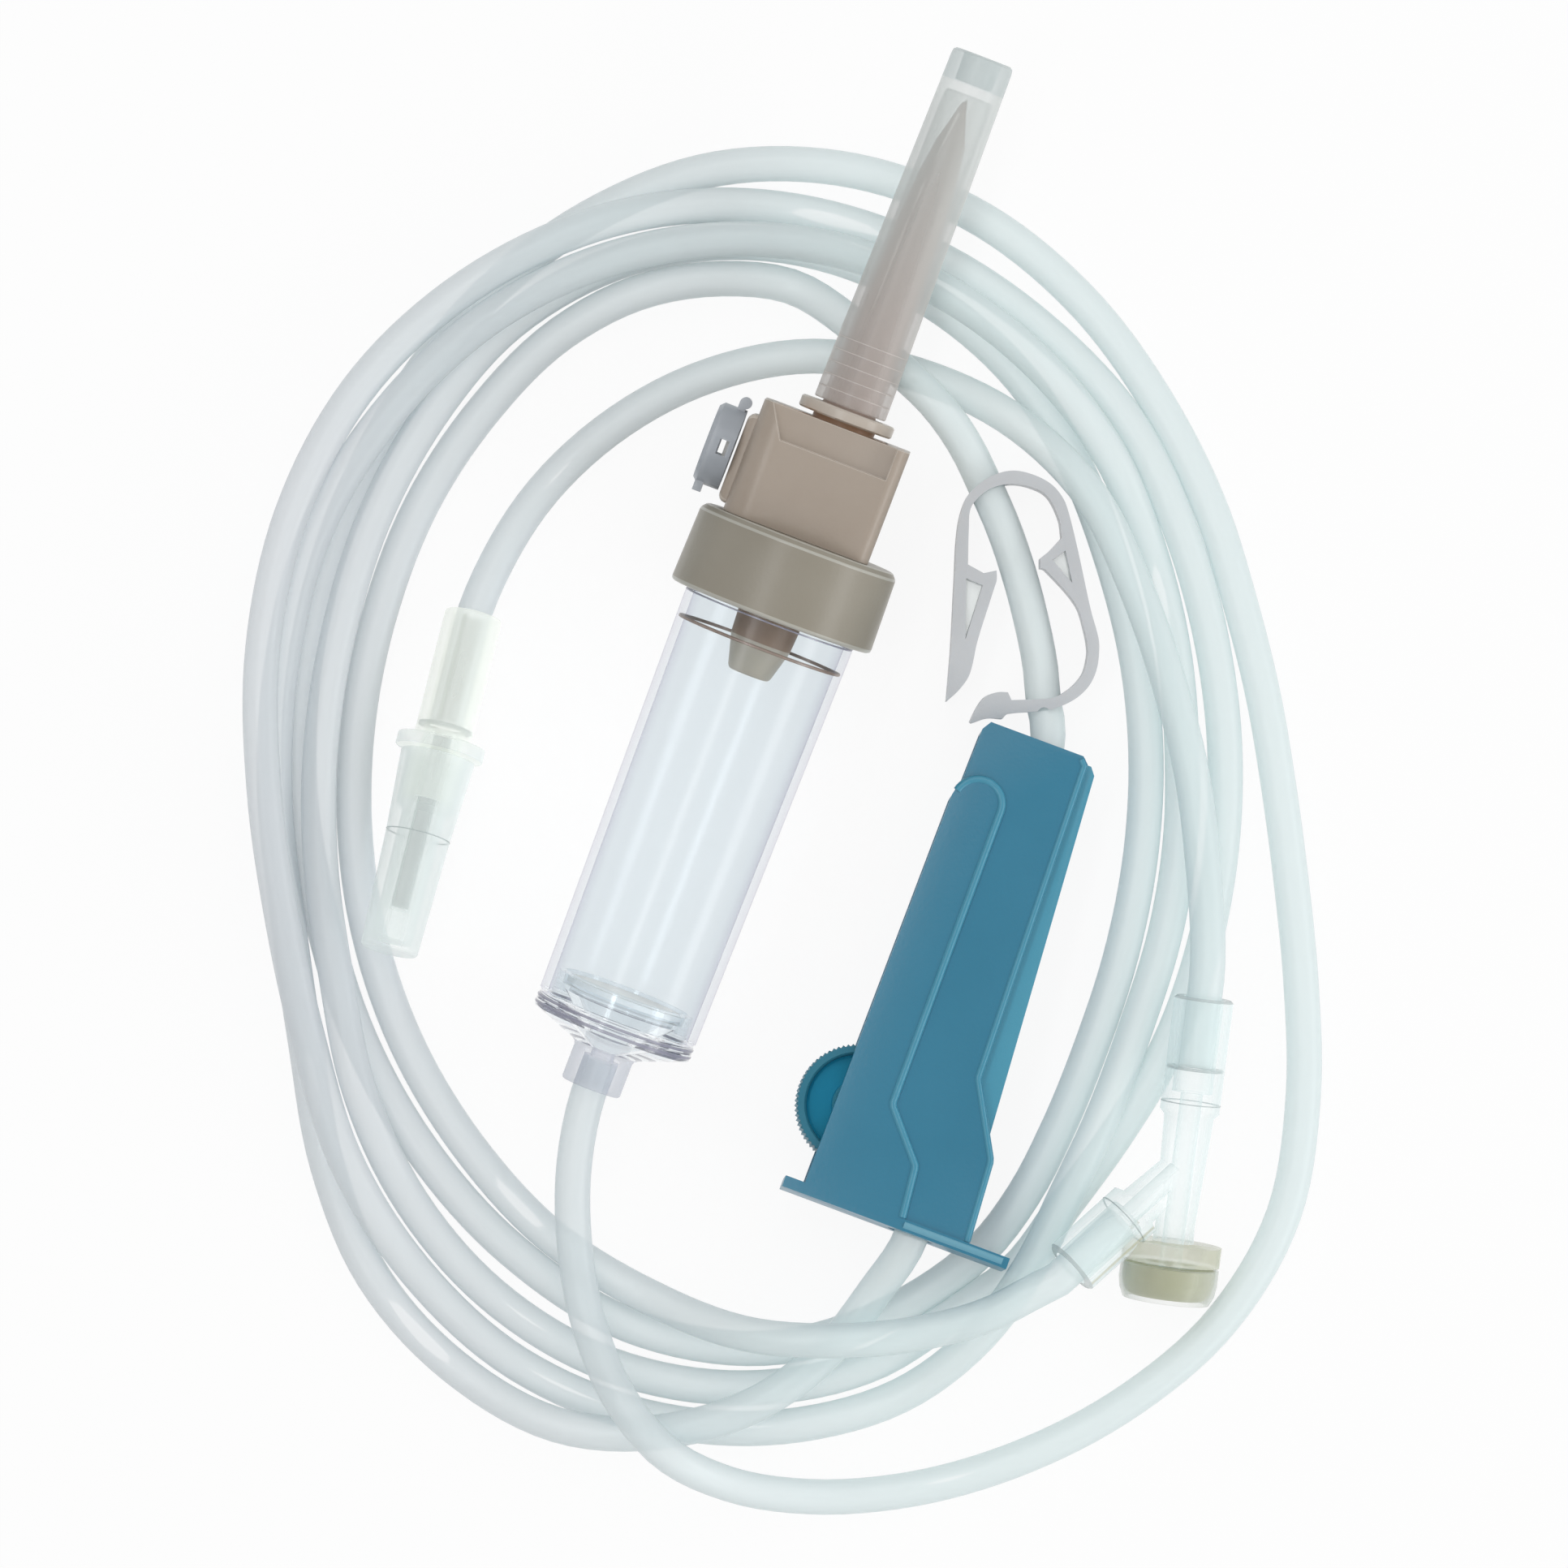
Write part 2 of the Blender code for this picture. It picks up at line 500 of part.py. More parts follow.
carve(clip,
      slab("cut", pinch, [(-6.6, 2.1), (-4.7, 1.3), (-6.7, -4.9)], PINCH_WEB + 0.9, PINCH_DEPTH + 1),
      slab("cut", pinch, [(3.3, 4.2), (4.8, 5.3), (5.6, 1.6)], PINCH_WEB + 0.9, PINCH_DEPTH + 1),
      slab("cut", pinch, [(-6.6, 2.1), (-4.7, 1.3), (-6.7, -4.9)], -1, PINCH_WEB),
      slab("cut", pinch, [(3.3, 4.2), (4.8, 5.3), (5.6, 1.6)], -1, PINCH_WEB),
      rod("cut", pinch, (-5.6, 15.6, 4.45), (-3.3, 10.4, 4.1), PINCH_HOLE_R),
      rod("cut", pinch, (2.5, -16, 6.2), (2.05, -8.5, 4.3), PINCH_HOLE_R))
finish(clip, "pinch_clamp", whitePlastic)

# Y-site
ySite = placeAt(Y_AT, heading(Y_HEADING, Y_TILT), leftOf(Y_HEADING), Y_ROLL)
armEnd = Vector((ARM_END[0], 0, ARM_END[1]))
armRoot = Vector((ARM_ROOT[0], 0, ARM_ROOT[1]))
armPlace = turned(shifted(ySite, *armEnd), armRoot - armEnd)
armLength = (armRoot - armEnd).length
wye = lathe("wye", ySite, [
    (0, 2.4), (2.9, 2.4), (2.9, SHROUD_TOP + GAP), (STOPPER_R, SHROUD_TOP + GAP), (STOPPER_R, 6.8),
    (2.4, 6.9), (2.3, 9.0),
    (2.9, Y_SOCKET_LOW - 0.6), (Y_SOCKET_R, Y_SOCKET_LOW), (Y_SOCKET_R, Y_TOP - 0.3), (Y_SOCKET_R - 0.3, Y_TOP),
    (0, Y_TOP)], 40)
ribFrame = ySite @ Matrix.Rotation(math.radians(90), 4, "X")
combine(wye,
        lathe("arm", armPlace, [
            (0, 0), (Y_SOCKET_R - 0.3, 0), (Y_SOCKET_R, 0.3), (Y_SOCKET_R, ARM_SOCKET - 0.5),
            (2.5, ARM_SOCKET), (2.2, armLength + 0.4), (0, armLength + 0.4)], 40),
        slab("rib", ribFrame, [(9.6, 3.4), (5.0, 5.6), (4.6, 6.5), (6.6, 8.2)], -0.6, 0.6))
carve(wye,
      rod("cut", ySite, (0, 0, 1.5), (0, 0, Y_TOP - 5), NOZZLE_BORE, 24),
      rod("cut", ySite, (0, 0, Y_TOP - SOCKET_DEPTH - 3), (0, 0, Y_TOP + 2), SOCKET_R, 32),
      rod("cut", armPlace, (0, 0, 4.0), (0, 0, armLength + 0.2), 1.2, 24),
      rod("cut", armPlace, (0, 0, -2.0), (0, 0, SOCKET_DEPTH + 1.0), SOCKET_R, 32))
finish(wye, "y_body", clearPlastic)

bung = lathe("y_septum", ySite, [
    (0, 0.5), (3.6, 0.5), (3.9, 0.2), (4.35, 0.45), (4.75, 1.3), (5.05, 2.3), (5.1, SHROUD_TOP),
    (3.2, SHROUD_TOP), (3.2, 2.1), (0, 2.1)], 32)
finish(bung, "y_septum", bungRubber)
shroud = lathe("septum_shroud", ySite, [
    (4.7, 0.0), (5.0, 0.0), (5.5, 1.1), (STOPPER_R, 2.3), (STOPPER_R, SHROUD_TOP), (5.4, SHROUD_TOP),
    (5.4, 2.3), (5.15, 1.3)], 32)
finish(shroud, "septum_shroud", clearPlastic)

# Luer end
luer = placeAt(LUER_AT, heading(LUER_HEADING, LUER_TILT), leftOf(LUER_HEADING))
sleeve = lathe("luer_sleeve", luer, [
    (2.4, SLEEVE_LOW), (3.0, SLEEVE_LOW), (3.05, LUER_FLANGE[0]), (LUER_FLANGE_R, LUER_FLANGE[0]),
    (LUER_FLANGE_R, LUER_FLANGE[1]), (SLEEVE_R, LUER_FLANGE[1]), (SLEEVE_R, SLEEVE_TOP - 0.3),
    (SLEEVE_R - 0.3, SLEEVE_TOP), (2.4, SLEEVE_TOP)], 32)
finish(sleeve, "luer_sleeve", sleevePlastic)
male = lathe("luer_fitting", luer, [
    (1.1, 5.0), (1.75, 5.0), (1.95, 5.2), (2.1, 17.0), (2.1, 26.2), (1.1, 26.2)], 32)
finish(male, "luer_fitting", luerPlastic)
luerCap = lathe("luer_cap", luer, [
    (0, 0), (3.1, 0), (3.35, 0.3), (3.75, 13.9), (4.35, LUER_CAP_LOW), (3.6, LUER_CAP_LOW), (3.4, 17.2),
    (2.5, 16.4), (2.4, 1.2), (0, 1.2)], 32)
finish(luerCap, "luer_cap", luerPlastic)


def inFrame(place, x, y, s):
    spot = (place @ Vector((x * MM, y * MM, s * MM))) / MM
    return (spot.x - COIL_X, spot.y - COIL_Y, spot.z)


# The line's route: out of the chamber, round the coil, through both clamps and round again to the Y-site
def inClamp(x, y):
    return inFrame(clamp, x, y, 0)


FIRST_LOOPS = [
    polar(241.6, 48.5, 8.9), polar(245.5, 55.9, 7.5), polar(250.9, 65.2, 7.4), polar(256.3, 72.7, 10.5),
    polar(260, 76.5, 10.7), polar(266, 79.9, 6.6), polar(273, 81.6, 3.1), polar(281, 82.2, 2.1),
    polar(290, 82.1, 2.1), polar(300, 81.5, 2.1), polar(310, 80.1, 2.1), polar(320, 76.6, 2.1),
    polar(330, 70.5, 2.1), polar(340, 64.7, 2.1), polar(350, 60.6, 2.1), polar(0, 58.3, 2.1),
    polar(11, 57.5, 2.1), polar(22, 58, 2.1), polar(32.9, 60, 2.1), polar(45, 62.9, 2.1),
    polar(58, 66.9, 2.1), polar(71, 70.5, 2.1), polar(84, 72.4, 2.1), polar(96, 72.2, 2.1),
    polar(108, 69.7, 2.1), polar(120, 66.4, 2.1), polar(135, 62, 2.1), polar(150, 58.7, 2.1),
    polar(165, 56.3, 2.1), polar(180, 54.9, 2.1), polar(195.1, 54.4, 2.1), polar(210, 55.8, 2.1),
    polar(225.1, 58.1, 2.1), polar(240, 61.1, 2.1), polar(255, 64, 2.1), polar(270, 64.3, 2.1),
    polar(285, 61, 2.1), polar(295, 57.8, 2.1), polar(302, 54.6, 2.1), polar(309.7, 51, 2.1),
    polar(321.7, 46.8, 2.1), polar(335, 44.2, 2.1), polar(350, 42.9, 2.1), polar(4.1, 43, 2.1),
    polar(20, 44.5, 2.1), polar(34, 47.1, 2.1), polar(48.1, 51.5, 2.1), polar(60, 55.8, 2.1),
    polar(75, 60.2, 2.1), polar(90, 63.2, 2.1), polar(105, 63.9, 2.1), polar(119.9, 62.1, 2.4),
    polar(132, 59, 4), polar(145, 56.1, 4.5), polar(159.9, 53.6, 4.4), polar(175, 52.6, 5.4),
    polar(190, 53.1, 6.2), polar(203, 54.9, 6.4), polar(214.9, 58.7, 6.3), polar(228, 63.2, 3),
    polar(240, 66.6, 2.1), polar(253, 68.9, 2.1), polar(268, 69, 2.1), polar(280, 67, 2.2),
    polar(289, 63.7, 2.1), polar(296.5, 62, 2.1), polar(305, 58.4, 2.1), polar(315, 55.9, 2.1),
    polar(326, 54.3, 2.1), polar(338, 52.9, 2.1), polar(350, 52.1, 2.1), polar(5, 52.2, 2.1),
    polar(20, 53.5, 2.3), polar(33.1, 55.8, 2.8), polar(45, 58.8, 2.8), polar(60, 61.7, 2.1),
    polar(75, 64.8, 2.1), polar(90, 67.4, 2.2), polar(104, 68.5, 5.7), polar(120, 68.2, 6),
    polar(135, 66.9, 6), polar(150, 64.1, 8.7), polar(165, 61, 9.3), polar(180, 58.7, 9.2),
    polar(195, 58.6, 8), polar(208, 60.9, 6.3), polar(220, 65, 6.2), polar(232, 68.9, 3),
    polar(245, 72.4, 2.1), polar(260.1, 73.9, 2.1), polar(272, 73.3, 2.1), polar(282, 71.2, 2.8),
    polar(291, 66.8, 5.8), polar(298, 62.3, 6.4), polar(306, 57.2, 6.4), polar(315, 53.3, 5.7),
    polar(326, 50, 3), polar(340, 48, 2.1), polar(353, 47.2, 2.1), polar(6, 47.3, 2.1),
    polar(19, 48.8, 2.1), polar(32, 51.3, 2.1), polar(46, 55, 4.6), polar(60, 58.3, 6.1),
    polar(75, 61.5, 6), polar(90, 63.5, 6.2), polar(107, 64.2, 6.2), polar(120, 63.8, 6.2),
    polar(135, 62.4, 6.3), polar(150, 60.9, 5.8), polar(165, 58.8, 5.6), polar(180, 57.7, 5.2),
    polar(195, 58.2, 3.8), polar(208, 61.5, 2.1), polar(220, 67.5, 2.1), polar(230, 72.7, 2.1),
    polar(241, 76.2, 2.1), polar(252, 77.2, 5), polar(261, 74.5, 6.2), polar(269, 70.1, 6.3),
    polar(276, 64.2, 6.1), polar(281.6, 58.4, 7.4),
]
THROUGH_ROLLER = [
    inClamp(15.9, -1.1), inClamp(15.8, 5.6), inClamp(15.4, 14), inClamp(15.1, 23.3),
    inClamp(15.1, 32.6), inClamp(15.1, 41.9), inClamp(14.7, 49.4), inClamp(13.6, 53.4),
    inClamp(11.5, 57), inClamp(10.4, 60.6),
]
THROUGH_PINCH = [
    (31, 10, 4.8), (30.6, 14.4, 4.3), (29.5, 20, 4.1), (28, 25.6, 4.1),
    (26.2, 30.8, 4.1), (24.3, 35.1, 4.3), (22, 39.8, 5.3), (18.8, 44.3, 6.8),
]
LAST_LOOPS = [
    polar(75.8, 51.7, 6.5), polar(82, 55.3, 4.8), polar(88, 58.3, 2.7), polar(96, 59.5, 3.6),
    polar(105, 59.7, 3.8), polar(115, 58.4, 2.5), polar(128, 55.3, 2.1), polar(141, 52.6, 2.1),
    polar(155, 50.2, 2.1), polar(170, 48.9, 2.1), polar(185, 48.8, 2.1), polar(200, 49.8, 2.1),
    polar(215, 51.7, 2.1), polar(230, 54.4, 2.1), polar(243, 57.5, 2.1), polar(256, 60.1, 4.4),
    polar(268, 62.6, 9.4), polar(276, 63.4, 11.1), polar(284, 64.3, 10.3), polar(292, 64.9, 10.4),
    polar(298, 64.7, 10),
]
MAIN_ROUTE = (
    [inFrame(spikeSet, 0, 0, SPOUT_END + 3.2), inFrame(spikeSet, 0, 0, SPOUT_END - 0.5),
     inFrame(spikeSet, 0.1, 0, SPOUT_END - 4.5)]
    + FIRST_LOOPS + THROUGH_ROLLER + THROUGH_PINCH + LAST_LOOPS
    + [inFrame(armPlace, 0, 0, -2.0), inFrame(armPlace, 0, 0, 0.5), inFrame(armPlace, 0, 0, SOCKET_DEPTH)])
LUER_ROUTE = (
    [inFrame(ySite, 0, 0, Y_TOP - SOCKET_DEPTH), inFrame(ySite, 0, 0, Y_TOP), inFrame(ySite, 0, 0, Y_TOP + 2.5)]
    + [
        polar(341, 52.7, 7.2), polar(350, 50.1, 6.2), polar(2, 48.1, 6.5), polar(15, 47.1, 6.1),
        polar(30, 47.8, 6.4), polar(43, 49.8, 7), polar(56, 50.8, 5.2), polar(70, 50.9, 2.1),
        polar(85, 50.5, 2.1), polar(100, 48.5, 2.1), polar(115, 46, 2.1), polar(130, 43.5, 2.1),
        polar(141, 41.6, 2.7),
    ]
    + [inFrame(luer, 0, 0, SLEEVE_TOP + 3.0), inFrame(luer, 0, 0, SLEEVE_TOP),
       inFrame(luer, 0, 0, SLEEVE_TOP - 5), inFrame(luer, 0, 0, LUER_TUBE_END)])


tubeAlong("main_tube", MAIN_ROUTE, tubePlastic)
tubeAlong("luer_tube", LUER_ROUTE, tubePlastic)
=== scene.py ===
import math

import bpy
import numpy as np
from mathutils import Matrix, Vector


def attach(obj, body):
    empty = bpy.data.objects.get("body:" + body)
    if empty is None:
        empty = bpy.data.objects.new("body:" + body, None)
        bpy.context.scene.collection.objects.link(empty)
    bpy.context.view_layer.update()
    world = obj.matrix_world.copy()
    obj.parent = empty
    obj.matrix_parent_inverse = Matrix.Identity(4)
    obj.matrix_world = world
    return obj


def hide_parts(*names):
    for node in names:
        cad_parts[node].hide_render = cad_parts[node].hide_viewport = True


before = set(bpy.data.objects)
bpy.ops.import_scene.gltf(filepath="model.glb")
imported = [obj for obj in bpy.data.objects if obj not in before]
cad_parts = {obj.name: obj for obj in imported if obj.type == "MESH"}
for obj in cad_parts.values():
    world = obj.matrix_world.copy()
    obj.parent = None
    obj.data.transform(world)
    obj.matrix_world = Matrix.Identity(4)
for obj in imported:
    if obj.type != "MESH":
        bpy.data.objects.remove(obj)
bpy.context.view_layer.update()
bpy.ops.object.select_all(action="DESELECT")
print("frame in place")

mm = 0.001
smoothAngle = math.radians(38)  # faces that meet flatter than this are shaded as one


# places, as the CAD has them

coilMiddle = {"x": -2.6, "y": -12.8}


def placeAt(origin, zAxis, xAxis, roll=0.0):
    z = Vector(zAxis).normalized()
    x = Vector(xAxis)
    x = (x - x.dot(z) * z).normalized()
    turn = Matrix((x, z.cross(x), z)).transposed().to_4x4() @ Matrix.Rotation(math.radians(roll), 4, "Z")
    spot = Vector((origin[0] + coilMiddle["x"], origin[1] + coilMiddle["y"], origin[2])) * mm
    return Matrix.Translation(spot) @ turn


def heading(angle, tilt):
    a, t = math.radians(angle), math.radians(tilt)
    return (math.sin(a) * math.cos(t), math.cos(a) * math.cos(t), math.sin(t))


def leftOf(angle):
    a = math.radians(angle)
    return (-math.cos(a), math.sin(a), 0.0)


def shifted(place, x, y, z):
    return place @ Matrix.Translation(Vector((x, y, z)) * mm)


def turned(place, along):
    return place @ Vector((0, 0, 1)).rotation_difference(Vector(along)).to_matrix().to_4x4()


def inFrame(place, x, y, s):
    spot = (place @ Vector((x * mm, y * mm, s * mm))) / mm
    return (spot.x - coilMiddle["x"], spot.y - coilMiddle["y"], spot.z)


spikeSet = placeAt((-18.78, -27.68, 9.5), heading(20.92, 3.02), leftOf(20.92))
clampLean = math.radians(4.2)
clampY = (0.3486 * math.cos(clampLean), 0.9373 * math.cos(clampLean), -math.sin(clampLean))
clampZ = Vector((0.9373, -0.3486, 0)).cross(Vector(clampY))
clamp = placeAt((0.65, -45.48, 10.48), clampZ, (0.9373, -0.3486, 0))
pinch = placeAt((28.6, 22.4, 0), (0, 0, 1), (1, 0, 0))
ySite = placeAt((44.97, -58.72, 5.8), heading(7.2, 3.1), leftOf(7.2), 19.0)
armEnd, armRoot = Vector((12.1, 0, 2.77)), Vector((0.72, 0, 14.95))
arm = turned(shifted(ySite, *armEnd), armRoot - armEnd)
luer = placeAt((-44.36, -18.36, 10.1), heading(13.9, -9.5), leftOf(13.9))


# camera, straight above

viewFrom = {"x": -0.00157, "y": -0.01196, "high": 1.21, "lens": 239.9}
bpy.ops.object.camera_add(location=(viewFrom["x"], viewFrom["y"], viewFrom["high"]), rotation=(0, 0, 0))
camera = bpy.context.object
camera.name = "cameraAbove"
camera.data.sensor_width = 36
camera.data.lens = viewFrom["lens"]
camera.data.clip_end = 20
bpy.context.scene.camera = camera
bpy.context.scene.view_settings.view_transform = "Standard"


# looks

def freshLook(name):
    look = bpy.data.materials.new(name)
    look.use_nodes = True
    nodes = look.node_tree.nodes
    nodes.clear()
    out = nodes.new("ShaderNodeOutputMaterial")
    shader = nodes.new("ShaderNodeBsdfPrincipled")
    look.node_tree.links.new(shader.outputs["BSDF"], out.inputs["Surface"])
    return look, shader, out


def mottled(look, shader, colour, other, scale):
    tree = look.node_tree
    spot = tree.nodes.new("ShaderNodeTexCoord")
    noise = tree.nodes.new("ShaderNodeTexNoise")
    noise.inputs["Scale"].default_value = scale
    noise.inputs["Detail"].default_value = 3.0
    ramp = tree.nodes.new("ShaderNodeValToRGB")
    ramp.color_ramp.elements[0].position = 0.35
    ramp.color_ramp.elements[0].color = (*colour, 1)
    ramp.color_ramp.elements[1].position = 0.65
    ramp.color_ramp.elements[1].color = (*other, 1)
    tree.links.new(spot.outputs["Object"], noise.inputs["Vector"])
    tree.links.new(noise.outputs["Fac"], ramp.inputs["Fac"])
    tree.links.new(ramp.outputs["Color"], shader.inputs["Base Color"])


def grained(look, shader, scale, strength, depth):
    tree = look.node_tree
    spot = tree.nodes.new("ShaderNodeTexCoord")
    noise = tree.nodes.new("ShaderNodeTexNoise")
    noise.inputs["Scale"].default_value = scale
    noise.inputs["Detail"].default_value = 4.0
    bump = tree.nodes.new("ShaderNodeBump")
    bump.inputs["Strength"].default_value = strength
    bump.inputs["Distance"].default_value = depth
    tree.links.new(spot.outputs["Object"], noise.inputs["Vector"])
    tree.links.new(noise.outputs["Fac"], bump.inputs["Height"])
    tree.links.new(bump.outputs["Normal"], shader.inputs["Normal"])


def lightPasses(tree, surface, out, shade):
    path = tree.nodes.new("ShaderNodeLightPath")
    passing = tree.nodes.new("ShaderNodeBsdfTransparent")
    passing.inputs["Color"].default_value = (*shade, 1)
    last = tree.nodes.new("ShaderNodeMixShader")
    tree.links.new(path.outputs["Is Shadow Ray"], last.inputs["Fac"])
    tree.links.new(surface, last.inputs[1])
    tree.links.new(passing.outputs["BSDF"], last.inputs[2])
    tree.links.new(last.outputs["Shader"], out.inputs["Surface"])


def seenThrough(look, shader, out, facing, edge, blend=0.5, shade=(0.88, 0.9, 0.9)):
    tree = look.node_tree
    clear = tree.nodes.new("ShaderNodeBsdfTransparent")
    mix = tree.nodes.new("ShaderNodeMixShader")
    weight = tree.nodes.new("ShaderNodeLayerWeight")
    weight.inputs["Blend"].default_value = blend
    span = tree.nodes.new("ShaderNodeMapRange")
    span.inputs["To Min"].default_value = facing
    span.inputs["To Max"].default_value = edge
    tree.links.new(weight.outputs["Facing"], span.inputs["Value"])
    tree.links.new(span.outputs["Result"], mix.inputs["Fac"])
    tree.links.new(clear.outputs["BSDF"], mix.inputs[1])
    tree.links.new(shader.outputs["BSDF"], mix.inputs[2])
    lightPasses(tree, mix.outputs["Shader"], out, shade)


def mouldedLook(name, colour, other, roughness, scale=160.0, under=0.0, gloss=0.5):
    look, shader, out = freshLook(name)
    mottled(look, shader, colour, other, scale)
    grained(look, shader, 2200.0, 0.12, 0.0002)
    shader.inputs["Roughness"].default_value = roughness
    shader.inputs["Specular IOR Level"].default_value = gloss
    shader.inputs["Subsurface Weight"].default_value = under
    shader.inputs["Subsurface Radius"].default_value = (0.0012, 0.001, 0.0009)
    return look


def milkyLook(name, colour, other, roughness, facing, edge, blend=0.5, scale=120.0, glow=0.0):
    look, shader, out = freshLook(name)
    shader.inputs["Emission Color"].default_value = (*colour, 1)  # painted glow: emission in the plastic's own colour, standing in for daylight that the plastic passes on
    shader.inputs["Emission Strength"].default_value = glow
    mottled(look, shader, colour, other, scale)
    grained(look, shader, 1500.0, 0.08, 0.0002)
    shader.inputs["Roughness"].default_value = roughness
    seenThrough(look, shader, out, facing, edge, blend)
    return look


def clearLook(name, colour, roughness, bend, shade):
    look, shader, out = freshLook(name)
    shader.inputs["Base Color"].default_value = (*colour, 1)
    shader.inputs["Transmission Weight"].default_value = 1.0
    shader.inputs["IOR"].default_value = bend
    shader.inputs["Roughness"].default_value = roughness
    shader.inputs["Coat Weight"].default_value = 1.0
    shader.inputs["Coat Roughness"].default_value = 0.04
    mottled(look, shader, colour, [c * 0.985 for c in colour], 60.0)
    lightPasses(look.node_tree, shader.outputs["BSDF"], out, shade)
    return look


def acrossLook(look, shader, near, far, fromX, toX, axis="X"):
    tree = look.node_tree
    spot = tree.nodes.new("ShaderNodeTexCoord")
    parts = tree.nodes.new("ShaderNodeSeparateXYZ")
    span = tree.nodes.new("ShaderNodeMapRange")
    span.inputs["From Min"].default_value = fromX
    span.inputs["From Max"].default_value = toX
    noise = tree.nodes.new("ShaderNodeTexNoise")
    noise.inputs["Scale"].default_value = 45.0
    blur = tree.nodes.new("ShaderNodeMath")
    blur.operation = "MULTIPLY_ADD"
    blur.inputs[1].default_value = 0.3
    ramp = tree.nodes.new("ShaderNodeValToRGB")
    ramp.color_ramp.elements[0].position = 0.15
    ramp.color_ramp.elements[0].color = (*near, 1)
    ramp.color_ramp.elements[1].position = 1.0
    ramp.color_ramp.elements[1].color = (*far, 1)
    tree.links.new(spot.outputs["Object"], parts.inputs["Vector"])
    tree.links.new(parts.outputs[axis], span.inputs["Value"])
    tree.links.new(spot.outputs["Object"], noise.inputs["Vector"])
    tree.links.new(noise.outputs["Fac"], blur.inputs[0])
    tree.links.new(span.outputs["Result"], blur.inputs[2])
    tree.links.new(blur.outputs["Value"], ramp.inputs["Fac"])
    tree.links.new(ramp.outputs["Color"], shader.inputs["Base Color"])


# painted shade: the line is coloured a darker lilac grey to the left and pale green to the right
tubeLook, tubeShader, tubeOut = freshLook("softTube")
acrossLook(tubeLook, tubeShader, (0.71, 0.745, 0.775), (0.775, 0.865, 0.87), -0.062, 0.03)
grained(tubeLook, tubeShader, 1500.0, 0.06, 0.0002)
tubeShader.inputs["Roughness"].default_value = 0.34
seenThrough(tubeLook, tubeShader, tubeOut, 0.55, 0.85, 0.35, (0.84, 0.87, 0.87))
clearHard = clearLook("clearHard", (0.89, 0.92, 0.94), 0.03, 1.1, (0.95, 0.95, 0.97))
chamberLook = clearLook("chamberClear", (0.93, 0.95, 0.96), 0.02, 1.004, (0.96, 0.96, 0.97))
tree = chamberLook.node_tree
chamberShader = next(node for node in tree.nodes if node.type == "BSDF_PRINCIPLED")
chamberShader.inputs["Coat Weight"].default_value = 0.6
chamberShader.inputs["Coat Roughness"].default_value = 0.2
# painted shade: the base colour darkens to lilac grey as the wall is seen edge-on
weight = tree.nodes.new("ShaderNodeLayerWeight")
weight.inputs["Blend"].default_value = 0.5
edgeShade = tree.nodes.new("ShaderNodeValToRGB")
edgeShade.color_ramp.elements[0].position = 0.0
edgeShade.color_ramp.elements[0].color = (0.865, 0.9, 0.918, 1)
edgeShade.color_ramp.elements[1].position = 1.0
edgeShade.color_ramp.elements[1].color = (0.46, 0.45, 0.55, 1)
for spot, colour in [(0.5, (0.865, 0.897, 0.917, 1)), (0.8, (0.77, 0.78, 0.83, 1))]:
    edgeShade.color_ramp.elements.new(spot).color = colour
tree.links.new(weight.outputs["Facing"], edgeShade.inputs["Fac"])
tree.links.new(edgeShade.outputs["Color"], chamberShader.inputs["Base Color"])
chamberInner = chamberLook.copy()  # the inside has no gloss of its own
chamberInner.name = "chamberInner"
for node in chamberInner.node_tree.nodes:
    if node.type == "BSDF_PRINCIPLED":
        node.inputs["Coat Weight"].default_value = 0.0
clearSpout = milkyLook("hazySpout", (0.60, 0.63, 0.71), (0.67, 0.70, 0.78), 0.2, 0.26, 0.7, 0.4)
clearWye = milkyLook("clearWye", (0.78, 0.88, 0.88), (0.82, 0.92, 0.92), 0.1, 0.1, 0.6, 0.5, glow=0.11)
cupClear = milkyLook("cupClear", (0.62, 0.66, 0.60), (0.68, 0.72, 0.66), 0.08, 0.05, 0.6, 0.5)
wyeRimLook = milkyLook("wyeRim", (0.42, 0.47, 0.47), (0.48, 0.53, 0.53), 0.2, 0.4, 0.8, 0.5)
oliveClear = milkyLook("oliveClear", (0.56, 0.57, 0.43), (0.61, 0.62, 0.48), 0.15, 0.45, 0.8, 0.5, glow=0.04)
headLook = mouldedLook("warmBeige", (0.365, 0.305, 0.25), (0.385, 0.325, 0.27), 0.34, 90.0, 0.2)
# painted highlight: a lighter copy of the warm beige for the head's eased edges and its flange
headHighlight = mouldedLook("warmBeigeHighlight", (0.50, 0.445, 0.385), (0.52, 0.465, 0.405), 0.3, 90.0, 0.2)
neckLook = mouldedLook("neckOrange", (0.50, 0.30, 0.17), (0.53, 0.33, 0.2), 0.4, 90.0, 0.2)
collarLook = mouldedLook("greyBeige", (0.275, 0.25, 0.2), (0.295, 0.27, 0.22), 0.36, 90.0, 0.15)
# painted highlight: a lighter copy of the grey beige for the collar's eased edges
collarHighlight = mouldedLook("greyBeigeHighlight", (0.43, 0.42, 0.37), (0.45, 0.44, 0.39), 0.3, 90.0, 0.15)
nozzleLook = mouldedLook("nozzleBrown", (0.165, 0.105, 0.068), (0.185, 0.12, 0.08), 0.5, 90.0, 0.1)
nozzleEndLook = mouldedLook("nozzleBeige", (0.30, 0.27, 0.22), (0.32, 0.29, 0.24), 0.4, 90.0, 0.15)
capLook, capShader, capOut = freshLook("smokyCap")
acrossLook(capLook, capShader, (0.50, 0.44, 0.41), (0.62, 0.66, 0.65), 0.030, 0.064, "Y")
grained(capLook, capShader, 1500.0, 0.08, 0.0002)
capShader.inputs["Roughness"].default_value = 0.32
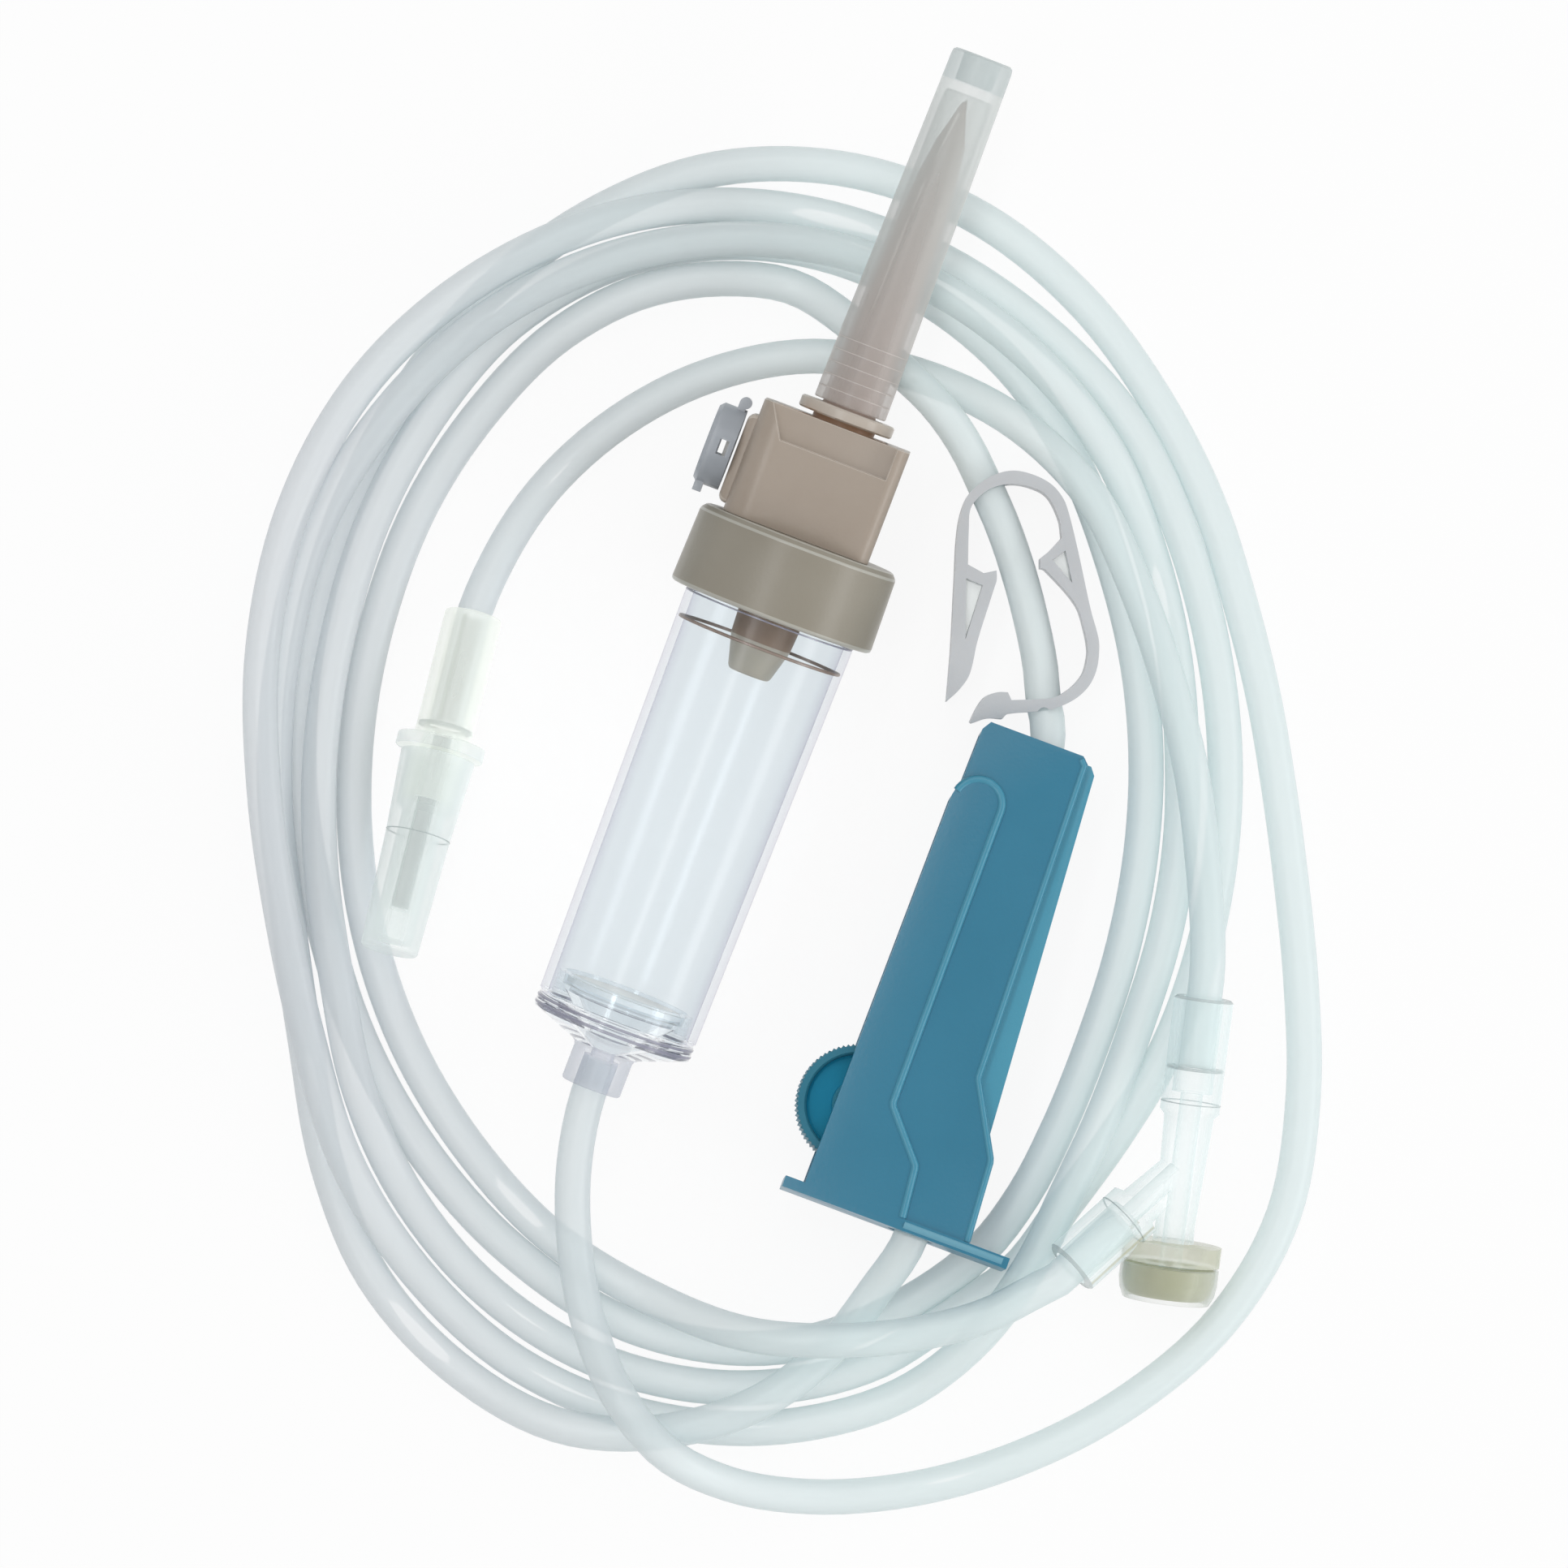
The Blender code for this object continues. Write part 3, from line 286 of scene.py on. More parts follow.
# painted glow: a faint emission in the cap
capShader.inputs["Emission Color"].default_value = (0.55, 0.54, 0.52, 1)
capShader.inputs["Emission Strength"].default_value = 0.06
seenThrough(capLook, capShader, capOut, 0.34, 0.8, 0.4)
spikeLook = mouldedLook("spikeWarm", (0.40, 0.31, 0.27), (0.43, 0.335, 0.29), 0.35, 90.0, 0.2)
capEndLook = milkyLook("paleCapEnd", (0.50, 0.56, 0.56), (0.54, 0.60, 0.60), 0.32, 0.4, 0.8, 0.4, glow=0.04)
capRingLook = milkyLook("capRing", (0.62, 0.57, 0.54), (0.66, 0.61, 0.58), 0.32, 0.5, 0.75, 0.4)
# painted highlight: a lighter copy of the spike colour on the ridge down the spike
spikeHighlightLook = mouldedLook("spikeRidgeHighlight", (0.60, 0.52, 0.47), (0.64, 0.56, 0.51), 0.35, 90.0, 0.2)
innerLine = mouldedLook("innerLine", (0.42, 0.48, 0.45), (0.46, 0.52, 0.49), 0.4, 90.0)
ventLook = milkyLook("paleVent", (0.375, 0.405, 0.445), (0.42, 0.45, 0.49), 0.3, 0.75, 0.95)
feltLook = mouldedLook("filterFelt", (0.74, 0.74, 0.72), (0.8, 0.8, 0.78), 0.9, 900.0)
blueLook = mouldedLook("clampBlue", (0.014, 0.17, 0.275), (0.02, 0.185, 0.295), 0.32, 60.0, 0.15)
# painted highlight: a lighter copy of the clamp blue for eased edges and the pad and plate ridges
blueHighlight = mouldedLook("clampBlueHighlight", (0.04, 0.255, 0.37), (0.05, 0.27, 0.39), 0.3, 60.0, 0.15)
flangeHighlight = mouldedLook("flangeHighlightBlue", (0.12, 0.34, 0.45), (0.135, 0.36, 0.47), 0.34, 60.0, 0.15)
# painted light: a lighter blue for the up-facing faces of the low ramp
rampLitLook = mouldedLook("rampLitBlue", (0.055, 0.29, 0.41), (0.065, 0.31, 0.43), 0.32, 60.0, 0.15)
wheelLook = mouldedLook("wheelBlue", (0.03, 0.20, 0.29), (0.04, 0.22, 0.31), 0.45, 90.0, 0.15, 0.25)
# painted light: the wheel's disc faces take a lighter, bluer copy of the wheel colour than its rim
discLitLook = mouldedLook("wheelDiscLit", (0.014, 0.255, 0.415), (0.018, 0.275, 0.435), 0.5, 90.0, 0.15, 0.1)
whiteLook = mouldedLook("pinchWhite", (0.54, 0.56, 0.58), (0.57, 0.59, 0.61), 0.36, 90.0, 0.2)
# painted highlight: a lighter copy of the pinch clamp white for its eased edges
whiteHighlight = mouldedLook("pinchHighlight", (0.68, 0.71, 0.73), (0.71, 0.74, 0.76), 0.36, 90.0, 0.2)
# painted light: the web is made lighter and given a glow that lifts the shade of its pocket
webLook = milkyLook("pinchWeb", (0.80, 0.84, 0.83), (0.84, 0.88, 0.87), 0.4, 0.45, 0.6, glow=0.18)
bungLook = mouldedLook("bungRubber", (0.50, 0.50, 0.34), (0.53, 0.53, 0.37), 0.5, 300.0, 0.1)
sleeveLook = milkyLook("paleSleeve", (0.84, 0.87, 0.81), (0.88, 0.905, 0.85), 0.28, 0.27, 0.58, 0.4, glow=0.24)
luerLook = milkyLook("frostedLuer", (0.75, 0.81, 0.80), (0.79, 0.85, 0.84), 0.3, 0.27, 0.6, 0.4, glow=0.12)
innerLuer = milkyLook("innerLuer", (0.78, 0.84, 0.82), (0.82, 0.88, 0.86), 0.3, 0.2, 0.5, 0.4, glow=0.24)
boreLook = milkyLook("boreWall", (0.52, 0.57, 0.57), (0.56, 0.61, 0.61), 0.3, 0.0, 0.55, 0.3)
# painted refraction: a brown ring that stands for the beige collar seen through the step in the chamber wall
collarRefractionLook = mouldedLook("refractionBrown", (0.16, 0.115, 0.09), (0.19, 0.14, 0.11), 0.4, 200.0)
bandLook = milkyLook("rimBand", (0.30, 0.30, 0.38), (0.36, 0.36, 0.44), 0.15, 0.55, 0.9)
lineLook = milkyLook("mouldLine", (0.46, 0.52, 0.52), (0.52, 0.58, 0.58), 0.2, 0.4, 0.75)
print("looks ready")

nodeLooks = {"fluid_filter": feltLook, "vent_filter": feltLook, "luer_fitting": innerLuer, "roller_axle": blueLook}
for nodeName, look in nodeLooks.items():
    for slot in bpy.data.objects[nodeName].material_slots:
        slot.material = look


# moulded pieces: a merged copy of each, with its edges eased

def takeUp(piece):
    bpy.ops.object.select_all(action="DESELECT")
    piece.select_set(True)
    bpy.context.view_layer.objects.active = piece


def eased(nodeName, pieceName, looks, easing, body="set", sharper=32, steps=3):
    piece = bpy.data.objects.new(pieceName, bpy.data.objects[nodeName].data.copy())
    bpy.context.scene.collection.objects.link(piece)
    piece.data.name = pieceName
    piece.data.materials.clear()
    for look in looks:
        piece.data.materials.append(look)
    takeUp(piece)
    bpy.ops.object.mode_set(mode="EDIT")
    bpy.ops.mesh.select_all(action="SELECT")
    bpy.ops.mesh.remove_doubles(threshold=0.000003)
    bpy.ops.mesh.dissolve_limited(angle_limit=math.radians(1))
    bpy.ops.object.mode_set(mode="OBJECT")
    if easing:
        edges = piece.modifiers.new("easedEdges", "BEVEL")
        edges.width = easing * mm
        edges.segments = steps
        edges.limit_method = "ANGLE"
        edges.angle_limit = math.radians(sharper)
        # the bevel faces take the second look, for most pieces a lighter copy of the first: painted highlight
        if len(looks) > 1:
            edges.material = 1
        bpy.ops.object.modifier_apply(modifier=edges.name)
    bpy.ops.object.shade_smooth_by_angle(angle=smoothAngle)
    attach(piece, body)
    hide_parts(nodeName)
    return piece


def markFaces(piece, place, number, wanted):
    back = place.inverted()
    turnBack = back.to_3x3()
    for face in piece.data.polygons:
        if wanted((back @ face.center) / mm, turnBack @ face.normal):
            face.material_index = number


pieceFacts = [
    ("chamber_collar", "chamberCollar", [collarLook, collarHighlight, nozzleLook, nozzleEndLook], 0.3, "collar", "set"),
    ("spike_head", "spikeAndPort", [headLook, headHighlight, neckLook, spikeLook], 0.15, "head", "set"),
    ("vent_cap", "ventCap", [ventLook], 0.15, "vent", "vent_cap"),
    ("roller_housing", "rollerHousing", [blueLook, blueHighlight, rampLitLook], 0.45, "blue", "set"),
    ("y_body", "wyeBody", [clearWye, clearWye, oliveClear, wyeRimLook], 0.0, "clear", "set"),
    ("septum_shroud", "bungShroud", [cupClear], 0.1, "clear", "set"),
    ("luer_sleeve", "luerSleeve", [sleeveLook, sleeveLook, luerLook], 0.12, "sleeve", "set"),
    ("luer_cap", "luerCap", [luerLook], 0.12, "luer", "luer_cap"),
]
dressed = {}
for nodeName, pieceName, looks, easing, slotName, body in pieceFacts:
    dressed[pieceName] = eased(nodeName, pieceName, looks, easing, body)
    print(pieceName, len(dressed[pieceName].data.polygons), "faces")

markFaces(dressed["chamberCollar"], spikeSet, 2, lambda c, n: c.z < 51.1 and math.hypot(c.x, c.y) < 6)
markFaces(dressed["chamberCollar"], spikeSet, 3, lambda c, n: c.z < 47.6 and math.hypot(c.x, c.y) < 6)
markFaces(dressed["spikeAndPort"], spikeSet, 2, lambda c, n: 74.3 < c.z < 75.1 and math.hypot(c.x, c.y) < 4.2)
# painted highlight: the flange faces take the lighter beige
markFaces(dressed["spikeAndPort"], spikeSet, 1, lambda c, n: 75.1 < c.z < 76.6)
markFaces(dressed["spikeAndPort"], spikeSet, 3, lambda c, n: c.z > 76.6)
markFaces(dressed["luerSleeve"], luer, 2, lambda c, n: 23.5 < c.z < 25.4 and math.hypot(c.x, c.y) > 3.4)
# painted light: the ramp's up-facing faces take the lighter blue
markFaces(dressed["rollerHousing"], clamp, 2, lambda c, n: n.z > 0.9 and c.z < 5.4 and c.x > 14)
markFaces(dressed["wyeBody"], ySite, 2, lambda c, n: 3.9 < c.z < 6.9 and math.hypot(c.x, c.y) > 2.6 and c.x < 6.2)
markFaces(dressed["wyeBody"], ySite, 3, lambda c, n: c.z > 34.2)
markFaces(dressed["wyeBody"], arm, 3, lambda c, n: c.z < 0.9 and math.hypot(c.x, c.y) < 3.6)


# the head: a block with its corners rounded upright, less a recess along its top

def blockPiece(name, low, high):
    middle = [(a + b) / 2 * mm for a, b in zip(low, high)]
    bpy.ops.object.select_all(action="DESELECT")
    bpy.ops.mesh.primitive_cube_add(size=1, location=middle)
    piece = bpy.context.object
    piece.name = name
    piece.scale = [(b - a) * mm for a, b in zip(low, high)]
    bpy.ops.object.transform_apply(location=True, rotation=True, scale=True)
    return piece


def pickVerts(piece, wanted):
    takeUp(piece)
    bpy.ops.object.mode_set(mode="EDIT")
    bpy.ops.mesh.select_mode(type="VERT")
    bpy.ops.mesh.select_all(action="DESELECT")
    bpy.ops.object.mode_set(mode="OBJECT")
    for vert in piece.data.vertices:
        vert.select = wanted(vert.co / mm)
    bpy.ops.object.mode_set(mode="EDIT")


def roundUpright(piece, radius, steps, wanted):
    pickVerts(piece, wanted)
    bpy.ops.mesh.bevel(offset=radius * mm, segments=steps, affect="EDGES")
    bpy.ops.object.mode_set(mode="OBJECT")


def finished(piece, place, looks, easing, body, steps=3):
    takeUp(piece)
    for look in looks:
        piece.data.materials.append(look)
    edges = piece.modifiers.new("easedEdges", "BEVEL")
    edges.width = easing * mm
    edges.segments = steps
    edges.limit_method = "ANGLE"
    edges.angle_limit = math.radians(30)
    edges.use_clamp_overlap = True
    # the bevel faces take the second look, a lighter copy of the first: painted highlight
    if len(looks) > 1:
        edges.material = 1
    bpy.ops.object.modifier_apply(modifier=edges.name)
    piece.matrix_world = place
    bpy.ops.object.transform_apply(location=True, rotation=True, scale=True)
    bpy.ops.object.shade_smooth_by_angle(angle=smoothAngle)
    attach(piece, body)
    return piece


headSet = {"low": (-8.3, -7.5, 60.83), "high": (9.4, 7.5, 74.4), "recess": (-6.8, 6.1, 6.25, 70.6), "cut": 74.2}
headBlock = blockPiece("headBlock", headSet["low"], headSet["high"])
roundUpright(headBlock, 3.1, 8, lambda v: v.x > 9.3 and v.y > 7.4)
roundUpright(headBlock, 3.1, 8, lambda v: v.x > 9.3 and v.y < -7.4)
roundUpright(headBlock, 1.7, 6, lambda v: v.x < -8.2 and v.y > 7.4)
roundUpright(headBlock, 1.7, 6, lambda v: v.x < -8.2 and v.y < -7.4)
left, right, floorAt, low = headSet["recess"]
cutter = blockPiece("recessCutter", (left, floorAt, low), (right, 9.0, 76.0))
pickVerts(cutter, lambda v: v.x > right - 0.1 and v.z > 75.9)
bpy.ops.transform.translate(value=(3.2 * mm, 0, 0))
bpy.ops.object.mode_set(mode="OBJECT")
takeUp(headBlock)
recess = headBlock.modifiers.new("recess", "BOOLEAN")
recess.operation = "DIFFERENCE"
recess.solver = "EXACT"
recess.object = cutter
bpy.ops.object.modifier_apply(modifier=recess.name)
bpy.data.objects.remove(cutter)
finished(headBlock, spikeSet, [headLook, headHighlight], 0.3, "set")
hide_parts("spike_head")
post = blockPiece("headPost", (6.5, -4.4, 61.6), (10.45, 4.4, 72.3))
roundUpright(post, 0.85, 4, lambda v: v.x > 10.4)
finished(post, spikeSet, [headLook, headHighlight], 0.4, "set")
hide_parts("spike_head")

# the CAD copy keeps the spike, its flange and the vent port, and gives up its block
takeUp(dressed["spikeAndPort"])
bpy.ops.object.mode_set(mode="EDIT")
bpy.ops.mesh.select_all(action="SELECT")
bpy.ops.mesh.bisect(plane_co=spikeSet @ Vector((0, 0, headSet["cut"] * mm)),
                    plane_no=spikeSet.to_3x3() @ Vector((0, 0, 1)), use_fill=True, clear_inner=True)
bpy.ops.object.mode_set(mode="OBJECT")
dressed["spikeAndPort"].name = "spikeAndFlange"
print("head built", len(headBlock.data.polygons))


# turned pieces: a ring drawn out along its axis, ring by ring

def turnedPiece(name, place, profile, sides, look, solid=False):
    radius, height = profile[0]
    bpy.ops.object.select_all(action="DESELECT")
    bpy.ops.mesh.primitive_circle_add(vertices=sides, radius=radius * mm, location=(0, 0, height * mm))
    piece = bpy.context.object
    piece.name = name
    bpy.ops.object.transform_apply(location=True, rotation=True, scale=True)
    bpy.ops.object.mode_set(mode="EDIT")
    bpy.ops.mesh.select_all(action="SELECT")
    for nextRadius, nextHeight in profile[1:] + (profile[:1] if not solid else []):
        bpy.ops.mesh.extrude_edges_move(TRANSFORM_OT_translate={"value": (0, 0, (nextHeight - height) * mm)})
        grow = nextRadius / radius
        bpy.ops.transform.resize(value=(grow, grow, 1), center_override=(0, 0, nextHeight * mm))
        radius, height = nextRadius, nextHeight
    bpy.ops.mesh.select_all(action="SELECT")
    bpy.ops.mesh.remove_doubles(threshold=0.000002)
    if solid:
        bpy.ops.mesh.fill_holes(sides=0)
    bpy.ops.mesh.normals_make_consistent(inside=False)
    bpy.ops.object.mode_set(mode="OBJECT")
    piece.matrix_world = place
    bpy.ops.object.transform_apply(location=True, rotation=True, scale=True)
    bpy.ops.object.shade_smooth_by_angle(angle=smoothAngle)
    piece.data.materials.append(look)
    return piece


def turnedFor(nodeName, name, place, profile, looks, body="set", solid=False, sides=144):
    piece = turnedPiece(name, place, profile, sides, looks[0], solid)
    for look in looks[1:]:
        piece.data.materials.append(look)
    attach(piece, body)
    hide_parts(nodeName)
    return piece


barrel = turnedFor("drip_chamber", "dripChamber", spikeSet, [
    (8.55, 2.0), (9.45, 2.0), (9.55, 2.1), (10.2, 49.9), (10.2, 54.2), (9.2, 54.2), (9.2, 49.9)],
    [chamberLook, chamberInner])
markFaces(barrel, spikeSet, 1, lambda c, n: c.x * n.x + c.y * n.y < 0)
base = turnedFor("chamber_base", "chamberBase", spikeSet, [
    (2.08, -6.8), (3.4, -6.8), (3.55, -6.6), (3.55, -2.7), (3.7, -2.3), (4.1, -2.05), (9.2, -0.1),
    (9.42, 0.0), (9.5, 0.2), (9.5, 0.85), (9.3, 0.95), (9.5, 1.05), (9.5, 1.55), (9.4, 1.7), (8.2, 1.7),
    (8.2, 4.8), (7.4, 5.0), (7.3, 3.6), (6.3, 3.6), (6.3, 2.9), (1.4, -1.6), (1.4, -3.2), (2.08, -3.2)],
    [clearHard, clearSpout])
markFaces(base, spikeSet, 1, lambda c, n: c.z < -2.0 and math.hypot(c.x, c.y) < 4.2)
cap = turnedFor("spike_cap", "spikeCap", spikeSet, [
    (2.6, 114.9), (2.8, 114.6), (2.9, 113.0), (3.4, 78.0), (3.5, 76.7), (4.2, 76.7), (4.33, 76.85),
    (4.3, 80.0), (3.72, 116.0), (3.68, 118.8), (3.6, 119.35), (3.3, 119.6), (2.5, 119.6), (2.3, 119.4),
    (2.2, 116.2)],
    [capLook, capEndLook], "spike_cap", True)
markFaces(cap, spikeSet, 1, lambda c, n: c.z > 115.9)
print("chamber and cap turned")


ringSides = 96


def ringPiece(name, place, inner, outer, low, high, look, body, slotName):
    ease = min(outer - inner, high - low) * 0.25
    ring = turnedPiece(name, place, [
        (inner, low), (outer - ease, low), (outer, low + ease),
        (outer, high - ease), (outer - ease, high), (inner, high)], ringSides, look)
    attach(ring, body)
    return ring


ringFacts = [
    # painted refraction: the brown ring in the chamber wall's step
    {"name": "collarRefractionRing", "at": spikeSet, "r": (9.1, 9.85), "s": (47.5, 47.85), "look": collarRefractionLook, "slot": "head"},
    {"name": "collarShade", "at": spikeSet, "r": (9.7, 10.18), "s": (50.72, 50.9), "look": bandLook, "slot": "clear"},
    {"name": "rimBandLow", "at": spikeSet, "r": (9.1, 9.56), "s": (0.3, 0.66), "look": bandLook, "slot": "clear"},
    {"name": "rimBandHigh", "at": spikeSet, "r": (9.1, 9.56), "s": (1.15, 1.45), "look": bandLook, "slot": "clear"},
    {"name": "wyeLine", "at": ySite, "r": (3.2, 3.48), "s": (23.0, 23.12), "look": lineLook, "slot": "clear"},
    {"name": "wyeTubeEnd", "at": ySite, "r": (2.2, 3.3), "s": (26.9, 27.2), "look": lineLook, "slot": "clear"},
    {"name": "armLine", "at": arm, "r": (3.2, 3.48), "s": (8.3, 8.42), "look": lineLook, "slot": "clear"},
    {"name": "sleeveRing", "at": luer, "r": (2.2, 3.2), "s": (26.6, 26.95), "look": lineLook, "slot": "sleeve"},
    {"name": "luerBore", "at": luer, "r": (1.0, 1.06), "s": (5.3, 26.0), "look": boreLook, "slot": "luer"},
    {"name": "sleeveBore", "at": luer, "r": (1.2, 1.26), "s": (27.6, 40.2), "look": boreLook, "slot": "sleeve"},
]
for facts in ringFacts:
    ringPiece(facts["name"], facts["at"], *facts["r"], *facts["s"], facts["look"], "set", facts["slot"])

capRingSet = {"count": 5, "from": 78.1, "step": 1.5, "high": 0.14, "inner": 4.0, "mouth": 76.7, "narrows": 0.0161}
for k in range(capRingSet["count"]):  # fine rings round the mouth of the spike cap
    low = capRingSet["from"] + capRingSet["step"] * k
    outer = 4.36 - capRingSet["narrows"] * (low - capRingSet["mouth"])
    ringPiece("capRing%d" % k, spikeSet, capRingSet["inner"], outer, low, low + capRingSet["high"], capRingLook,
              "spike_cap", "cap")
ringPiece("capStep", luer, 3.5, 3.78, 13.8, 13.9, lineLook, "luer_cap", "luer")

bung = turnedPiece("wyeBung", ySite, [
    (3.2, 2.1), (3.2, 4.15), (5.0, 4.15), (5.3, 4.0), (5.3, 2.5), (5.05, 1.4), (4.7, 0.75), (4.2, 0.45),
    (3.4, 0.4)], ringSides, bungLook, solid=True)
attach(bung, "set")
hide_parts("y_septum")
print("rings and bung drawn")


# half-round ridges on the clamp's pad, plate and flange and down the spike, coloured lighter than their parts as
# painted highlights, and fine lines inside the luer end

def ridgePiece(name, place, route, radius, look):
    path = [place @ (Vector(spot) * mm) for spot in route]
    curve = bpy.data.curves.new(name, "CURVE")
    curve.dimensions = "3D"
    curve.bevel_depth = radius * mm
    curve.bevel_resolution = 5
    curve.use_fill_caps = True
    spline = curve.splines.new("POLY")
    spline.points.add(len(path) - 1)
    for point, spot in zip(spline.points, path):
        point.co = (*spot, 1.0)
    ridge = bpy.data.objects.new(name, curve)
    bpy.context.scene.collection.objects.link(ridge)
    takeUp(ridge)
    bpy.ops.object.convert(target="MESH")
    ridge = bpy.context.object
    ridge.data.materials.append(look)
    bpy.ops.object.shade_smooth()
    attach(ridge, "set")
    return ridge


archSet = {"x": 5.78, "y": 48.9, "radius": 2.75}
padArch = [(archSet["x"] + archSet["radius"] * math.cos(math.radians(a)),
            archSet["y"] + archSet["radius"] * math.sin(math.radians(a))) for a in range(168, -1, -8)]
padWay = padArch + [(8.52, 48.0), (8.52, 13.4), (8.7, 12.9), (13.4, 7.5), (13.5, 7.1), (14.1, 1.4)]
plateWay = [(15.2, 57.8), (15.75, 57.2), (16.7, 19.6), (16.8, 19.2), (21.2, 11.3), (21.35, 10.8), (22.0, 1.4)]
# the pad and plate ridges carry the painted highlight blue
ridgePiece("padRidge", clamp, [(x, y, 5.9) for x, y in padWay], 0.5, blueHighlight)
ridgePiece("plateRidge", clamp, [(x, y, 5.3) for x, y in plateWay], 0.45, blueHighlight)
# painted highlight: a lighter blue half-round line along the flange's top edge
ridgePiece("flangeHighlightRidge", clamp, [(14.6, 0.68, 5.72), (26.6, 0.68, 5.72)], 0.62, flangeHighlight)
ridgePiece("spikeRidgeHighlight", spikeSet, [(1.5, 2.1, 78.8), (1.45, 2.1, 96.0), (1.2, 1.9, 103.0), (0.7, 1.35, 109.0),
                                    (0.3, 0.7, 112.6)], 0.26, spikeHighlightLook)
ridgePiece("fittingLine", luer, [(0.9, 1.75, 5.6), (0.9, 1.95, 22.0)], 0.09, innerLine)
ridgePiece("tubeLine", luer, [(0.9, 1.95, 27.6), (0.9, 1.95, 40.0)], 0.09, innerLine)
print("ridges laid")


# pinch clamp: its outline smoothed, drawn up, bored for the line, and a thin web in each triangle

def smoothLoop(points, steps, sharp):
    spots = [Vector(point) for point in points]
    count = len(spots)

    def sharpAt(i):
        before, after = spots[i % count] - spots[i % count - 1], spots[(i + 1) % count] - spots[i % count]
        return abs(before.angle_signed(after)) > math.radians(sharp)

    fine = []
    for i in range(count):
        here, there = spots[i], spots[(i + 1) % count]
        straight = there - here
        first = straight if sharpAt(i) else (there - spots[i - 1]).normalized() * straight.length
        last = straight if sharpAt(i + 1) else (spots[(i + 2) % count] - here).normalized() * straight.length
        for k in range(steps):
            u = k / steps
            fine.append((2 * u ** 3 - 3 * u * u + 1) * here + (3 * u * u - 2 * u ** 3) * there
                        + (u ** 3 - 2 * u * u + u) * first + (u ** 3 - u * u) * last)
    return fine


def drawnUp(name, loops, low, high):
    curve = bpy.data.curves.new(name, "CURVE")
    curve.dimensions = "2D"
    curve.fill_mode = "BOTH"
    curve.extrude = (high - low) / 2 * mm
    for loop in loops:
        spline = curve.splines.new("POLY")
        spline.points.add(len(loop) - 1)
        spline.use_cyclic_u = True
        for point, spot in zip(spline.points, loop):
            point.co = (spot[0] * mm, spot[1] * mm, 0, 1)
    piece = bpy.data.objects.new(name, curve)
    bpy.context.scene.collection.objects.link(piece)
    takeUp(piece)
    bpy.ops.object.convert(target="MESH")
    piece = bpy.context.object
    piece.location = (0, 0, (high + low) / 2 * mm)
    bpy.ops.object.transform_apply(location=True, rotation=True, scale=True)
    bpy.ops.object.mode_set(mode="EDIT")
    bpy.ops.mesh.select_all(action="SELECT")
    bpy.ops.mesh.remove_doubles(threshold=0.000003)
    bpy.ops.mesh.dissolve_limited(angle_limit=math.radians(0.5))
    bpy.ops.mesh.normals_make_consistent(inside=False)
    bpy.ops.object.mode_set(mode="OBJECT")
    return piece


def boredOut(piece, start, end, radius):
    way = Vector(end) - Vector(start)
    bpy.ops.object.select_all(action="DESELECT")
    bpy.ops.mesh.primitive_cylinder_add(vertices=48, radius=radius * mm, depth=way.length * mm)
    drill = bpy.context.object
    drill.rotation_euler = way.to_track_quat("Z", "Y").to_euler()
    drill.location = (Vector(start) + Vector(end)) / 2 * mm
    takeUp(piece)
    bore = piece.modifiers.new("bore", "BOOLEAN")
    bore.operation = "DIFFERENCE"
    bore.solver = "EXACT"
    bore.object = drill
    bpy.ops.object.modifier_apply(modifier=bore.name)
    bpy.data.objects.remove(drill)


pinchStrip = [
    (-8.9, -12.1), (-8.4, -6.1), (-8.0, 1.4), (-7.6, 7.9), (-6.7, 11.2), (-5.3, 12.8), (-3.4, 14.0),
    (-1.3, 14.5), (0.9, 14.1), (3.1, 13.0), (4.5, 11.4), (5.2, 9.6), (6.3, 5.1), (7.7, -1.4),
    (8.6, -4.7), (8.7, -6.1), (8.4, -8.4), (7.5, -10.3), (5.9, -11.8), (3.5, -12.9), (1.7, -13.2),
    (-1.8, -13.5), (-2.5, -14.1), (-4.1, -14.0), (-6.0, -14.6), (-6.2, -14.4), (-5.3, -12.6), (-4.4, -11.5),
    (-3.0, -11.0), (-1.8, -11.0), (-1.4, -11.9), (1.7, -11.8), (3.5, -11.6), (5.4, -10.5), (6.8, -8.9),
    (7.3, -7.2), (7.4, -6.1), (7.0, -3.8), (6.0, -0.9), (2.5, 3.1), (1.9, 3.3), (1.9, 4.4), (3.0, 5.3),
    (4.4, 6.8), (4.1, 8.9), (2.8, 11.5), (1.2, 12.5), (-1.1, 13.0), (-3.4, 12.6), (-5.1, 11.5),
    (-6.1, 10.1), (-6.3, 7.9), (-6.4, 3.7), (-4.6, 2.7), (-3.1, 3.0), (-3.1, 1.9), (-3.4, 0.9),
    (-5.3, -5.1), (-6.2, -8.9), (-7.4, -10.7)]
pinchTriangles = [[(-6.6, 2.1), (-4.7, 1.3), (-6.7, -4.9)], [(3.3, 4.2), (4.8, 5.3), (5.6, 1.6)]]
pinchSet = {"high": 8.0, "hole": 2.55, "web": (6.0, 6.9)}
clip = drawnUp("pinchClamp", [smoothLoop(pinchStrip, 6, 36)] + pinchTriangles, 0.0, pinchSet["high"])
boredOut(clip, (-5.6, 15.6, 4.45), (-3.3, 10.4, 4.1), pinchSet["hole"])
boredOut(clip, (2.5, -16, 6.2), (2.05, -8.5, 4.3), pinchSet["hole"])
finished(clip, pinch, [whiteLook, whiteHighlight], 0.22, "set")
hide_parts("pinch_clamp")
for k, triangle in enumerate(pinchTriangles):
    web = drawnUp("pinchWeb%d" % k, [smoothLoop(triangle, 5, 20)], *pinchSet["web"])
    finished(web, pinch, [webLook], 0.15, "set")
print("pinch clamp drawn", len(clip.data.polygons))

